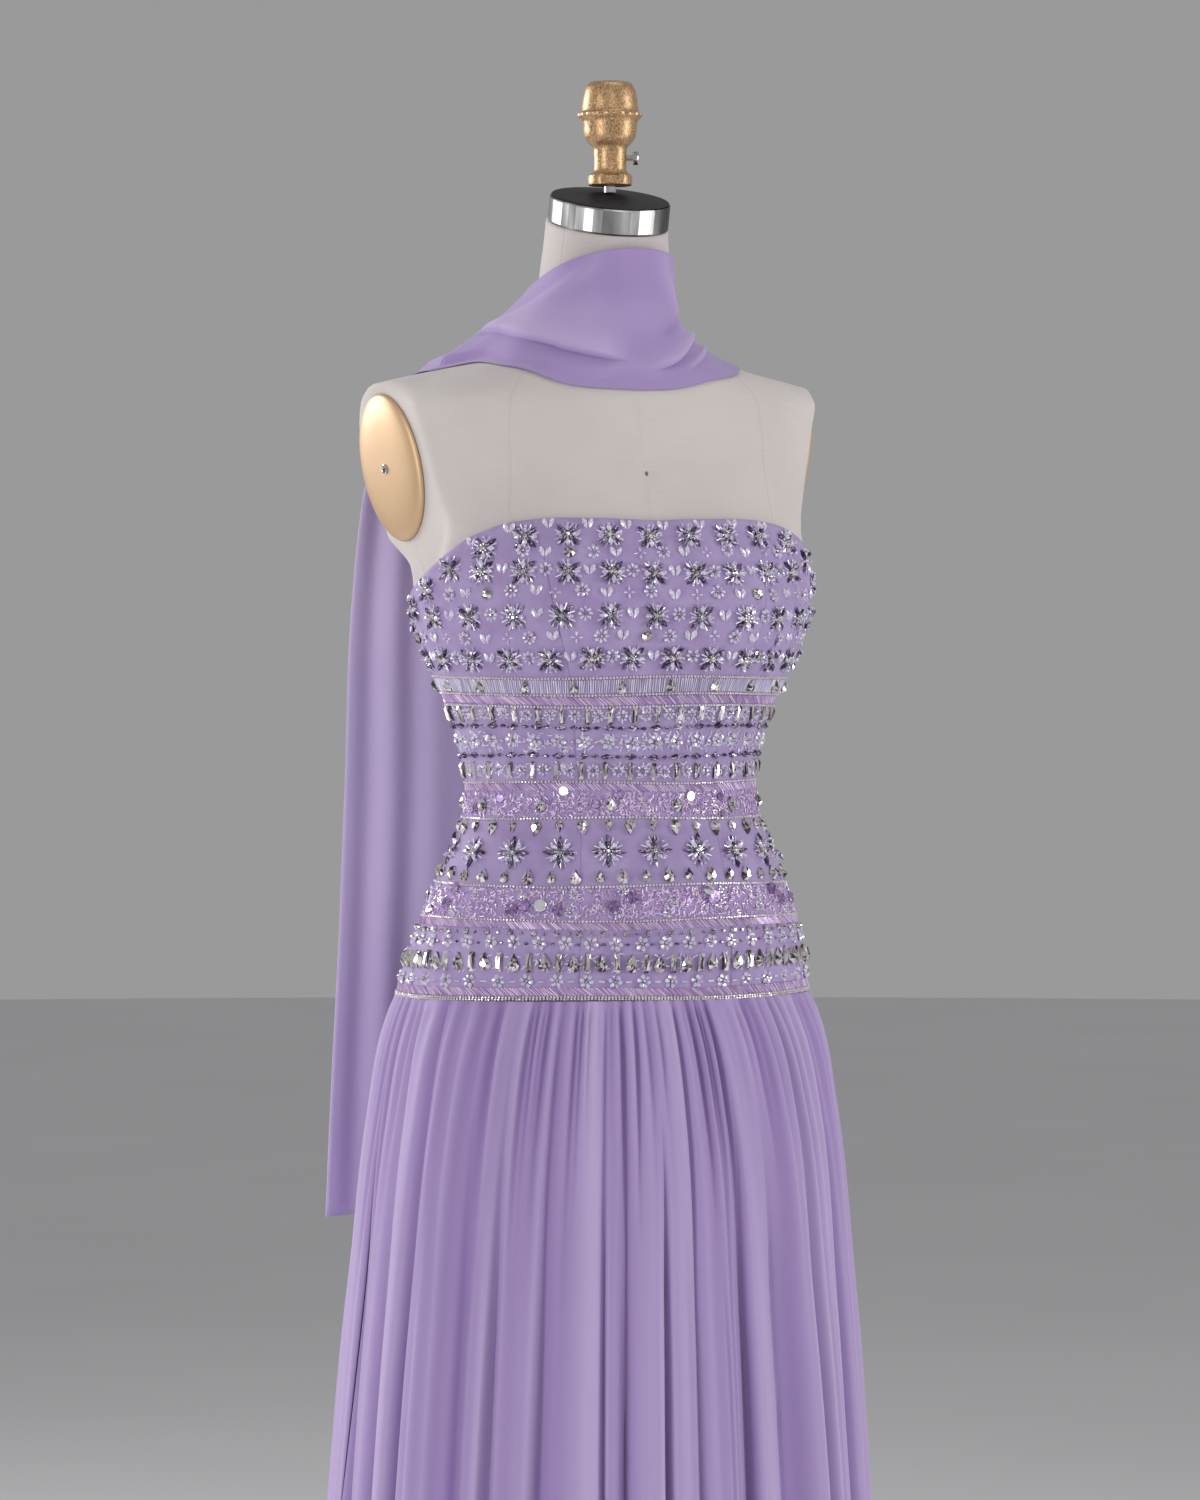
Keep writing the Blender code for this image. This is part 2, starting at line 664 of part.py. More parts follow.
def build_scarf(chiffon):
    across = np.linspace(0.0, 1.0, 9)
    rows = np.linspace(0.0006, 0.9994, 25)
    low, high = scarf_grid(SCARF_FRONT, 1.0, rows, across, SCARF_WALL, False)
    places = [k / (len(rows) - 1) for k in range(len(rows))]
    wall("scarf_front", high, places, low, places, chiffon, True)
    rows = 0.0006 + 0.9994 * np.linspace(0.0, 1.0, 18) ** 1.7
    places = [k / (len(rows) - 1) for k in range(len(rows))]
    for side, word in ((1.0, "right"), (-1.0, "left")):
        table = SCARF_TAIL
        if side < 0:
            table = left_tail()
        low, high = scarf_grid(table, side, rows, across, SCARF_WALL, True)
        wall("scarf_tail_" + word, high, places, low, places, chiffon, True)


def left_tail():
    """The left tail starts from a narrower stretch on its shoulder."""
    rows = []
    for k, row in enumerate(SCARF_TAIL):
        share = max(0.0, 1.0 - k / 3.0)
        outer = row[3] + share * (-LEFT_SHOULDER_EDGE - row[3])
        inner = row[0] - 0.001 * share
        height = row[5] + 0.001 * share
        hug = row[6] + share * (SCARF_FRONT[-1][6] - row[6])
        rows.append((inner, row[1], row[2] - 0.001 * share, outer, row[4], height, hug))
    return tuple(rows)


def prism(outline, low, high):
    """Points and faces of a flat outline drawn out along +Z."""
    count = len(outline)
    points = [(x, y, z) for z in (low, high) for x, y in outline]
    faces = [tuple(range(count)), tuple(range(count, 2 * count))]
    for k in range(count):
        n = (k + 1) % count
        faces.append((k, n, count + n, count + k))
    return np.array(points), faces


def build_zip(metal):
    """Slider at the top of the centre back zip, and its pull tab on a pin."""
    out = BODICE_GAP + BODICE_WALL + ZIP_OFF
    low, high = (form_point(math.pi, ZIP_Z + dz, out) for dz in (-0.0045, 0.0045))
    up = (high - low) / np.linalg.norm(high - low)
    away = np.array((0.0, up[2], -up[1]))
    wide, slot, floor, tall = 0.0032, 0.0017, 0.0020, 0.0048
    outline = (
        (-wide, 0.0), (wide, 0.0), (wide, tall), (slot, tall), (slot, floor), (-slot, floor),
        (-slot, tall), (-wide, tall),
    )
    drawn, faces = prism(outline, -0.0045, 0.0045)
    foot = (low + high) / 2
    placed = foot + drawn[:, :1] * np.array((1.0, 0.0, 0.0)) + drawn[:, 1:2] * away + drawn[:, 2:] * up
    solid("zip_slider", placed, faces, metal)
    pin = foot + away * (floor + PIN_RADIUS + 0.0006) + up * 0.0020
    drawn, faces = prism(keyhole_outline(), -PULL_WIDTH / 2, PULL_WIDTH / 2)
    local = np.stack((drawn[:, 2], drawn[:, 1], drawn[:, 0]), axis=1)
    pull = solid("zip_pull", local, faces, metal)
    pull.location = pin


def keyhole_outline():
    """Side view of the pull tab: a round eye with a flat tab hanging from it."""
    half = PULL_THICK / 2
    open_angle = math.asin(half / PIN_RADIUS)
    first, last = math.pi + open_angle, 3 * math.pi - open_angle
    eye = [first + (last - first) * k / 12 for k in range(13)]
    outline = [(PIN_RADIUS * math.cos(a), PIN_RADIUS * math.sin(a)) for a in eye]
    outline += [(-PULL_LENGTH + 0.0006, half), (-PULL_LENGTH, 0.0), (-PULL_LENGTH + 0.0006, -half)]
    return outline


def main():
    clear_scene()
    linen = material("linen", (0.66, 0.62, 0.56), 0.85)
    steel = material("steel", (0.62, 0.62, 0.63), 0.32, 1.0)
    dark = material("dark_plate", (0.05, 0.05, 0.055), 0.40, 0.4)
    bronze = material("cast_bronze", (0.44, 0.28, 0.12), 0.45, 0.8)
    gold = material("gold_plate", (0.68, 0.46, 0.24), 0.28, 0.7)
    chrome = material("chrome", (0.70, 0.70, 0.72), 0.15, 1.0)
    chiffon = material("chiffon", (0.40, 0.31, 0.60), 0.70)
    beaded = material("beaded_cloth", (0.47, 0.37, 0.62), 0.45)
    build_form(linen)
    build_neck(steel, dark, bronze, chrome)
    build_plates(gold, chrome)
    build_stand(steel)
    build_bodice(beaded)
    build_zip(chrome)
    build_skirt(chiffon)
    build_scarf(chiffon)


main()
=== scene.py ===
import math

import bpy
import numpy as np
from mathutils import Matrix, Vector


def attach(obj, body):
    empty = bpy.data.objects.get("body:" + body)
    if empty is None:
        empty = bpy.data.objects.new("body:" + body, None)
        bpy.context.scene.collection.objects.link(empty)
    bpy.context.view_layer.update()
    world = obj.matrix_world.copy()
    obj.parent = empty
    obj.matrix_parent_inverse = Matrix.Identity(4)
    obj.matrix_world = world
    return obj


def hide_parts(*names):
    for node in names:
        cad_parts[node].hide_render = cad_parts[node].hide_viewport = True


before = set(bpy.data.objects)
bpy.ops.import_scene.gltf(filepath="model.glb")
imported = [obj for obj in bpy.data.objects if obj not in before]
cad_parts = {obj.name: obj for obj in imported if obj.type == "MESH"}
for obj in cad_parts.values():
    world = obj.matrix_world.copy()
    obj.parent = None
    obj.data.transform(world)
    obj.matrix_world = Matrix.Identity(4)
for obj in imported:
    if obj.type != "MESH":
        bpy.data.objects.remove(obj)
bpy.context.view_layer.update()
chance = np.random.default_rng(7)

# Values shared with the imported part: metres, radians, shares and counts
NECK_TOP = 1.4812
NECK_TOP_Y = 0.0047
NECK_TILT = math.radians(15.0)
NECK_TILT_FROM = 1.42
FORM_BOTTOM = 0.795
CLOTH_OUT = 0.0041
SCARF_CLEAR = 0.0024
WORN_CLEAR = 0.0012
TAIL_CLEAR = 0.0049
PLATE_CENTRE = (0.1708, 0.035, 1.287)
PLATE_WIDTH = 0.094
PLATE_HEIGHT = 0.119
PLATE_TURN = math.radians(10.0)
PLATE_LEAN = math.radians(11.0)
SEAT_EDGE = 1.10
SEAT_REACH = 1.50
SEAT_WIDER = 0.50
SEAT_DEEP = 0.055
HIP_SEAM = 0.868
BODICE_TOP = 1.244
GATHERS = 64
ZIP_HALF = 0.0035
PLATE_LIFT = 0.0003
PLATE_THICK = 0.0075

# Values of this scene alone, in metres unless the name says degrees
COVER_SEAM_HALF = 0.0012
PIN_X = 0.0005
PIN_Z = 1.2805
BODICE_THICK = 0.0016
SKIRT_THICK = 0.0008
SCARF_THICK = 0.0010
SCARF_REST = 0.0008
BODICE_GIRTH = 0.78
ZIP_RADIUS = 0.11
PANEL_RADIUS = 0.13
PANEL_GAP_DEGREES = 0.03
EDGE_FROM = 1.145
BEHIND_SKIRT = 0.013
BEHIND_BODICE = 0.0065
FLOOR_RADIUS = 14.0
CAMERA_TURN_DEGREES = -21.0
CAMERA_TILT_DEGREES = -1.02
CAMERA_AWAY = 4.5
CAMERA_SIDEWAYS = 0.008
CAMERA_HEIGHT = 1.142

# Dress form sections: height, half width, y of the widest point, y front, y back, roundness
FORM = (
    (0.770, 0.1560, 0.012, -0.094, 0.134, 2.10),
    (0.868, 0.1645, 0.012, -0.101, 0.144, 2.10),
    (0.920, 0.1516, 0.000, -0.105, 0.124, 2.10),
    (0.960, 0.1383, -0.003, -0.100, 0.102, 2.05),
    (1.000, 0.1201, -0.004, -0.091, 0.084, 2.05),
    (1.030, 0.1148, -0.002, -0.085, 0.080, 2.05),
    (1.060, 0.1183, 0.001, -0.087, 0.086, 2.05),
    (1.100, 0.1307, -0.001, -0.097, 0.093, 2.05),
    (1.140, 0.1486, -0.002, -0.109, 0.101, 2.10),
    (1.180, 0.1602, -0.001, -0.115, 0.108, 2.10),
    (1.215, 0.1625, 0.004, -0.107, 0.112, 2.15),
    (1.250, 0.1670, 0.015, -0.091, 0.114, 2.20),
    (1.290, 0.1775, 0.030, -0.077, 0.113, 2.30),
    (1.320, 0.1845, 0.042, -0.070, 0.110, 2.40),
    (1.345, 0.1855, 0.047, -0.0635, 0.105, 2.45),
    (1.357, 0.1635, 0.047, -0.0600, 0.098, 2.30),
    (1.3685, 0.1200, 0.045, -0.0565, 0.090, 2.15),
    (1.381, 0.0905, 0.041, -0.0530, 0.082, 2.05),
    (1.392, 0.0725, 0.035, -0.0500, 0.076, 2.00),
    (1.405, 0.0575, 0.027, -0.0470, 0.070, 2.00),
    (1.420, 0.0535, 0.019, -0.0440, 0.066, 2.00),
    (1.440, 0.0525, 0.013, -0.0410, 0.061, 2.00),
    (1.470, 0.0497, 0.008, -0.0410, 0.056, 2.00),
    (1.520, 0.0475, 0.004, -0.0440, 0.052, 2.00),
)
# Bust fullness of the general figure: angle, height, angle spread, height spread, rise
BUST = (33.0, 1.163, 17.0, 0.036, 0.010)
# Top edge of the bodice: degrees from the centre front, height
TOP_EDGE = (
    (0, 1.2435), (25, 1.2450), (45, 1.2440), (55, 1.2395), (65, 1.2290), (76, 1.2115),
    (88, 1.1940), (105, 1.1780), (130, 1.1700), (180, 1.1680),
)
# Princess seam of the bodice: height, degrees from the centre front
PRINCESS = (
    (0.868, 30.0), (0.950, 33.5), (1.030, 36.0), (1.146, 37.5), (1.200, 41.5), (1.244, 46.0),
)
SIDE_SEAM = 95.0
# Skirt sections: height, half width, y widest, y front, y back, roundness, gather depth, fold depth
SKIRT = (
    (0.0100, 0.2520, 0.029, -0.1880, 0.2500, 2.00, 0.0008, 0.0125),
    (0.3600, 0.2230, 0.027, -0.1650, 0.2190, 2.00, 0.0012, 0.0092),
    (0.6200, 0.2050, 0.020, -0.1500, 0.1930, 2.00, 0.0018, 0.0062),
    (0.7700, 0.1905, 0.014, -0.1370, 0.1720, 2.05, 0.0026, 0.0030),
    (0.8380, 0.1785, 0.012, -0.1190, 0.1600, 2.08, 0.0024, 0.0008),
    (0.8677, 0.1692, 0.012, -0.1057, 0.1487, 2.10, 0.0012, 0.0000),
)
# Shift of the skirt's folds round it: count of waves, size, phase in degrees
FOLD_PLACE_WAVES = ((7, 0.0036, 70.0), (11, 0.0020, 10.0), (2, 0.0040, 200.0))
# Folds of the skirt, from the wearer's right round the front and the back: width, size, side of the edge
SKIRT_FOLDS = (
    (0.9, 0.7, 1), (0.7, 0.9, 1), (0.9, 0.8, -1), (0.6, 0.6, 1), (1.1, 1.0, 1), (1.3, 0.9, 1),
    (0.5, 0.7, -1), (0.8, 1.2, 1), (0.6, 0.8, -1), (1.5, 1.0, -1), (0.7, 1.1, -1), (1.0, 0.8, 1),
    (1.2, 1.0, -1), (0.6, 0.7, -1), (0.9, 0.9, 1), (0.8, 0.8, -1),
    (1.0, 0.8, 1), (0.7, 0.9, -1), (1.2, 1.0, 1), (0.6, 0.7, 1), (0.9, 1.1, -1), (1.4, 0.9, 1),
    (0.5, 0.8, -1), (1.0, 1.0, -1), (0.7, 0.7, 1), (1.1, 1.1, -1), (0.8, 0.9, 1), (0.6, 0.8, -1),
    (1.2, 0.9, -1), (0.8, 1.0, 1), (1.0, 0.7, -1), (0.7, 0.8, 1),
)
# Scarf stations: inner edge x, y, z, outer edge x, y, z, and how closely it hugs the neck
SCARF_FRONT = (
    (-0.0560, 0.034, 1.4310, -0.1400, 0.040, 1.3665, 1.25),
    (-0.0545, 0.000, 1.4400, -0.1130, 0.010, 1.3712, 1.35),
    (-0.0460, -0.024, 1.4490, -0.0985, -0.029, 1.3665, 1.60),
    (-0.0260, -0.040, 1.4565, -0.0640, -0.060, 1.3525, 1.80),
    (0.0000, -0.0465, 1.4600, -0.0180, -0.0668, 1.3480, 1.90),
    (0.0250, -0.040, 1.4590, 0.0282, -0.066, 1.3485, 2.20),
    (0.0430, -0.024, 1.4550, 0.0620, -0.0585, 1.3555, 3.00),
    (0.0525, 0.000, 1.4460, 0.0960, -0.037, 1.3635, 3.60),
    (0.0570, 0.034, 1.4300, 0.1150, 0.040, 1.3675, 3.00),
)
SCARF_TAIL = (
    SCARF_FRONT[0],
    (-0.0550, 0.066, 1.4060, -0.1470, 0.070, 1.3580, 1.20),
    (-0.0490, 0.098, 1.3550, -0.1560, 0.100, 1.3200, 1.00),
    (-0.0450, 0.120, 1.2900, -0.1660, 0.122, 1.2700, 1.00),
    (-0.0390, 0.131, 1.1800, -0.1720, 0.140, 1.1600, 1.00),
    (-0.0330, 0.144, 1.0300, -0.1720, 0.154, 1.0300, 1.00),
    (-0.0280, 0.172, 0.9000, -0.1720, 0.170, 0.9000, 1.00),
    (-0.0240, 0.197, 0.7900, -0.1725, 0.186, 0.7900, 1.00),
    (-0.0220, 0.215, 0.6750, -0.1730, 0.200, 0.6750, 1.00),
)
LEFT_SHOULDER_EDGE = 0.1150
# Folds along the scarf's tails: place across, width, rise
SCARF_FOLDS = ((0.20, 0.13, 0.0050), (0.55, 0.12, 0.0060), (0.85, 0.10, 0.0055))
# Folds of the cowl: kind, width, size, then places along and across it. A lip overhangs what lies below
COWL = (
    ("ridge", 0.17, 0.0030, ((0.08, 0.60), (0.30, 0.50), (0.50, 0.48), (0.62, 0.48))),
    ("lip", 0.15, 0.0060, ((0.03, 0.60), (0.10, 0.66), (0.17, 0.71), (0.23, 0.735), (0.32, 0.745),
                           (0.40, 0.76), (0.48, 0.79))),
    ("ridge", 0.10, 0.0022, ((0.12, 0.52), (0.23, 0.32), (0.30, 0.20), (0.37, 0.06))),
    ("ridge", 0.22, -0.0018, ((0.40, 0.42), (0.50, 0.46), (0.62, 0.46))),
    ("lip", 0.075, 0.0058, ((0.59, 0.85), (0.68, 0.79), (0.76, 0.72), (0.85, 0.67), (0.96, 0.65))),
    ("ridge", 0.05, -0.0020, ((0.62, 0.60), (0.69, 0.56), (0.78, 0.48))),
    ("lip", 0.055, 0.0046, ((0.72, 0.88), (0.84, 0.82), (0.96, 0.79))),
    ("ridge", 0.05, 0.0014, ((0.44, 0.90), (0.50, 0.84), (0.60, 0.87))),
    ("ridge", 0.16, 0.0026, ((0.62, 0.06), (0.70, 0.30), (0.78, 0.52))),
)
# Seams of the linen cover at the front and at the back: height, degrees from the centre front
COVER_FRONT = ((0.9, 36), (1.20, 46), (1.25, 53), (1.324, 47), (1.36, 45), (1.40, 52), (1.45, 64))
COVER_BACK = ((0.9, 150), (1.03, 152), (1.20, 142), (1.36, 132), (1.45, 120))
# Arm plate: distance from its middle as a share of its size, height
PLATE = (
    (0.0, 0.0), (0.485, 0.0), (0.496, 0.0003), (0.500, 0.0011), (0.497, 0.0021), (0.480, 0.0036),
    (0.440, 0.0050), (0.380, 0.0060), (0.300, 0.0067), (0.200, 0.0072), (0.100, 0.0074),
    (0.0, PLATE_THICK),
)
# Screw of an arm plate: radius, height
SCREW_HEAD = (
    (0.0, 0.0), (0.0040, 0.0), (0.0041, 0.0003), (0.0039, 0.0009), (0.0034, 0.0011),
    (0.0031, 0.0008), (0.0029, 0.0008), (0.0012, 0.0011), (0.0, 0.0012),
)
# Neck plate: radius, height
NECK_DOME = (
    (0.0, 0.0), (0.0436, 0.0), (0.0436, 0.0202), (0.0440, 0.0207), (0.0468, 0.0208),
    (0.0472, 0.0212), (0.0468, 0.0217), (0.0400, 0.0224), (0.0300, 0.0231), (0.0220, 0.0236),
    (0.0165, 0.0239), (0.0140, 0.0243), (0.0, 0.0246),
)
# Finial: radius, height, with the fine steps of the casting
FINIAL = (
    (0.0000, 1.5126), (0.0165, 1.5126), (0.0174, 1.5131), (0.0178, 1.5145), (0.0178, 1.5200),
    (0.0172, 1.5210), (0.0150, 1.5222), (0.0136, 1.5236), (0.0131, 1.5260), (0.0130, 1.5330),
    (0.0132, 1.5395), (0.0136, 1.5425), (0.0150, 1.5445), (0.0184, 1.5475), (0.0205, 1.5515),
    (0.0214, 1.5565), (0.0218, 1.5625), (0.0228, 1.5652), (0.0244, 1.5664), (0.0252, 1.5676),
    (0.0255, 1.5687), (0.0252, 1.5698), (0.0240, 1.5706), (0.0233, 1.5712), (0.0229, 1.5722),
    (0.0225, 1.5765), (0.0218, 1.5820), (0.0209, 1.5865), (0.0197, 1.5905), (0.0181, 1.5932),
    (0.0156, 1.5950), (0.0090, 1.5959), (0.0000, 1.5961),
)
# Lights: name, place, height it is aimed at, size, power
LIGHTS = (
    ("left", (-2.4, -1.2, 1.25), 0.95, (0.8, 2.4), 28.0),
    ("right", (2.2, -1.4, 1.40), 0.95, (0.8, 2.4), 34.0),
    ("front", (-0.5, -3.2, 2.6), 1.10, (1.4, 1.4), 9.0),
    ("behind", (-1.9, 2.3, 1.9), 1.10, (1.2, 1.6), 52.0),
    ("top", (0.2, -0.3, 3.4), 1.0, (1.4, 1.4), 6.0),
)
# Beads: word of the piece, paint, roughness, metal, coat, then tones from dark to light, which each
# facet takes at random as a painted reflection, a dark facet or a bright glint
BEAD_PAINTS = (
    ("crystal", "cut_crystal", 0.09, 0.75, 0.0, (
        (0.0, (0.04, 0.035, 0.04)), (0.24, (0.13, 0.115, 0.12)), (0.38, (0.56, 0.49, 0.45)),
        (0.54, (0.78, 0.75, 0.78)), (0.80, (0.98, 0.97, 0.98)))),
    ("dark", "dark_marquise", 0.12, 0.75, 0.0, (
        (0.0, (0.02, 0.015, 0.03)), (0.46, (0.12, 0.085, 0.17)), (0.66, (0.34, 0.27, 0.42)),
        (0.84, (0.95, 0.92, 0.97)))),
    ("clear", "clear_glass", 0.10, 0.15, 0.5, (
        (0.0, (0.40, 0.32, 0.54)), (0.5, (0.66, 0.59, 0.80)), (0.85, (0.94, 0.92, 0.97)))),
    ("rainbow", "rainbow_glass", 0.08, 0.25, 0.6, (
        (0.0, (0.42, 0.34, 0.56)), (0.40, (0.66, 0.58, 0.80)), (0.62, (0.72, 0.76, 0.86)),
        (0.78, (0.88, 0.78, 0.86)), (0.95, (0.97, 0.95, 0.97)))),
    ("bugle", "lilac_bugle", 0.22, 0.15, 0.3, (
        (0.0, (0.34, 0.19, 0.44)), (0.45, (0.52, 0.34, 0.64)), (0.80, (0.84, 0.72, 0.88)))),
    ("seed", "silver_seed", 0.18, 0.40, 0.0, (
        (0.0, (0.50, 0.43, 0.47)), (0.5, (0.76, 0.70, 0.73)), (0.95, (0.97, 0.94, 0.92)))),
    ("disc", "purple_disc", 0.16, 0.45, 0.5, (
        (0.0, (0.11, 0.05, 0.17)), (0.5, (0.26, 0.15, 0.36)), (0.95, (0.46, 0.34, 0.58)))),
    ("mirror", "mirror_disc", 0.06, 0.7, 0.0, (
        (0.0, (0.86, 0.85, 0.88)), (1.0, (0.98, 0.98, 1.0)))),
)


def at(table, key):
    """Rows of a table at each key, with smooth change between its rows."""
    rows = np.array(table, dtype=float)
    keys, values = rows[:, 0], rows[:, 1:]
    slopes = np.gradient(values, keys, axis=0)
    key = np.asarray(key, dtype=float)
    k = np.clip(np.searchsorted(keys, key) - 1, 0, len(keys) - 2)
    span = (keys[k + 1] - keys[k])[..., None]
    t = np.clip((key - keys[k])[..., None] / span, 0.0, 1.0)
    low = (2 * t**3 - 3 * t**2 + 1) * values[k] + (t**3 - 2 * t**2 + t) * span * slopes[k]
    high = (3 * t**2 - 2 * t**3) * values[k + 1] + (t**3 - t**2) * span * slopes[k + 1]
    return low + high


def section_radius(angle, half_width, front, back, roundness):
    depth = np.where(np.cos(angle) > 0, front, back)
    across = np.abs(np.sin(angle) / half_width) ** roundness
    along = np.abs(np.cos(angle) / depth) ** roundness
    return (across + along) ** (-1.0 / roundness)


def turned(angle):
    """Degrees from the centre front, from -180 to 180."""
    return np.degrees((angle + math.pi) % (2 * math.pi) - math.pi)


def form_radius(angle, z):
    half_width, widest, front, back, roundness = np.moveaxis(at(FORM, z), -1, 0)
    radius = section_radius(angle, half_width, widest - front, back - widest, roundness)
    place, height, spread, tall, rise = BUST
    for side in (-1, 1):
        off = ((turned(angle) - side * place) / spread) ** 2 + ((z - height) / tall) ** 2
        radius = radius + rise * np.exp(-off)
    return radius, widest


def form_points(angle, z, out=0.0):
    angle, z = np.broadcast_arrays(np.asarray(angle, float), np.asarray(z, float))
    radius, widest = form_radius(angle, z)
    radius = radius + out
    return np.stack((radius * np.sin(angle), widest - radius * np.cos(angle), z), axis=-1)


def form_gap(p):
    widest = at(FORM, p[..., 2])[..., 1]
    angle = np.arctan2(p[..., 0], widest - p[..., 1])
    return np.hypot(p[..., 0], p[..., 1] - widest) - form_radius(angle, p[..., 2])[0]


def way_out(points):
    """How far points lie outside the form, and the way out of it."""
    value = form_gap(points)
    slope = np.stack([(form_gap(points + d) - value) / 0.0008 for d in np.eye(3) * 0.0008], -1)
    size = np.linalg.norm(slope, axis=-1)
    return value / size, slope / size[..., None]


def push_out(points, clear):
    """Moves points out of the form until each is clear of it by the given distance."""
    for _ in range(8):
        gap, way = way_out(points)
        points = points + way * np.clip(clear - gap, 0.0, 0.01)[..., None]
    return points


def settle(points, clear, weight):
    """Lays points down towards the form by a share of what they stand off it."""
    for _ in range(4):
        gap, way = way_out(points)
        points = points - way * (np.clip(gap - clear, 0.0, 0.01) * weight)[..., None]
    return points


def waves(table, place):
    return sum(size * np.sin(2 * math.pi * count * place + math.radians(phase))
               for count, size, phase in table)


def top_edge(angle):
    return at(TOP_EDGE, np.abs(turned(angle)))[..., 0]


def princess(z):
    return at(PRINCESS, z)[..., 0]


def soft_step(value, low, high):
    t = np.clip((value - low) / (high - low), 0.0, 1.0)
    return t * t * (3 - 2 * t)


def unit(v):
    return v / np.maximum(np.linalg.norm(v, axis=-1, keepdims=True), 1e-12)


def grid_normals(grid):
    return unit(np.cross(np.gradient(grid, axis=1), np.gradient(grid, axis=0)))


def strip_faces(first, second, closed=False):
    """Four-sided faces between two rows of point numbers."""
    if closed:
        first, second = np.append(first, first[0]), np.append(second, second[0])
    return np.stack((first[:-1], first[1:], second[1:], second[:-1]), axis=-1)


def grid_faces(rows, columns, start=0, closed=False):
    numbers = start + np.arange(rows * columns).reshape(rows, columns)
    return np.concatenate([strip_faces(numbers[r], numbers[r + 1], closed) for r in range(rows - 1)])


def make(name, points, faces, paint, stands_for=(), smooth=True, body="root", marks=None, uv=None,
         sharp=None):
    """A piece from points and faces, riding on a body, with its paint, hiding the imported parts that it
    stands for.
    """
    mesh = bpy.data.meshes.new(name)
    points = np.asarray(points, dtype=float).reshape(-1, 3)
    listed = faces.tolist() if isinstance(faces, np.ndarray) else [tuple(f) for f in faces]
    mesh.from_pydata(points.tolist(), [], listed)
    mesh.polygons.foreach_set("use_smooth", [smooth] * len(mesh.polygons))
    for mark, (domain, values) in (marks or {}).items():
        layer = mesh.attributes.new(mark, "FLOAT", domain)
        layer.data.foreach_set("value", np.asarray(values, dtype=np.float32).ravel())
    if uv is not None:
        corner = np.empty(len(mesh.loops), dtype=np.int32)
        mesh.loops.foreach_get("vertex_index", corner)
        layer = mesh.uv_layers.new(name="cut")
        layer.data.foreach_set("uv", np.asarray(uv, dtype=np.float32).reshape(-1, 2)[corner].ravel())
    mesh.materials.append(paint)
    mesh.update()
    if sharp:
        mesh.set_sharp_from_angle(angle=math.radians(sharp))
    made = bpy.data.objects.new(name, mesh)
    bpy.context.scene.collection.objects.link(made)
    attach(made, body)
    if stands_for:
        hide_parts(*stands_for)
    return made


def shell(node, outer, thick, paint, marks=None):
    """A thin cloth shell from a grid of outer points, with its rim closed and its cut as UVs."""
    rows, columns = outer.shape[:2]
    inner = outer - grid_normals(outer) * thick
    size = rows * columns
    front = grid_faces(rows, columns)
    back = grid_faces(rows, columns, size)[:, ::-1]
    numbers = np.arange(size).reshape(rows, columns)
    rim = []
    for edge in (numbers[0][::-1], numbers[-1], numbers[:, 0], numbers[:, -1][::-1]):
        rim.append(strip_faces(edge, edge + size))
    step_u = np.linalg.norm(np.diff(outer, axis=1), axis=-1)
    step_v = np.linalg.norm(np.diff(outer, axis=0), axis=-1)
    u = np.concatenate((np.zeros((rows, 1)), np.cumsum(step_u, axis=1)), axis=1)
    v = np.concatenate((np.zeros((1, columns)), np.cumsum(step_v, axis=0)), axis=0)
    uv = np.stack((u - u[:, -1:] / 2, v), axis=-1)
    both = {k: ("POINT", np.concatenate((m.ravel(), m.ravel()))) for k, m in (marks or {}).items()}
    return make(node + "_cloth", np.concatenate((outer.reshape(-1, 3), inner.reshape(-1, 3))),
                np.concatenate([front, back, *rim]), paint, (node,), marks=both,
                uv=np.concatenate((uv.reshape(-1, 2), uv.reshape(-1, 2))))


def lathe(profile, segments, radius_share=None):
    """Points and faces of a profile of (radius, height) turned about +Z."""
    angle = 2 * math.pi * np.arange(segments) / segments
    rows = []
    for k, (radius, height) in enumerate(profile):
        share = 1.0 if radius_share is None else radius_share(k, angle)
        r = max(radius, 1e-5) * share
        rows.append(np.stack((r * np.cos(angle), r * np.sin(angle), np.full(segments, height)), -1))
    points = np.concatenate(rows)
    return points, grid_faces(len(rows), segments, closed=True)


def aim(points, centre, axis):
    """Turns points so that +Z goes along an axis, then moves them to a centre."""
    axis = unit(np.array(axis, dtype=float))
    side = unit(np.cross((0.0, 1.0, 0.0), axis))
    up = np.cross(axis, side)
    return points[:, :1] * side + points[:, 1:2] * up + points[:, 2:] * axis + np.array(centre)


WHITE = (1.0, 1.0, 1.0)


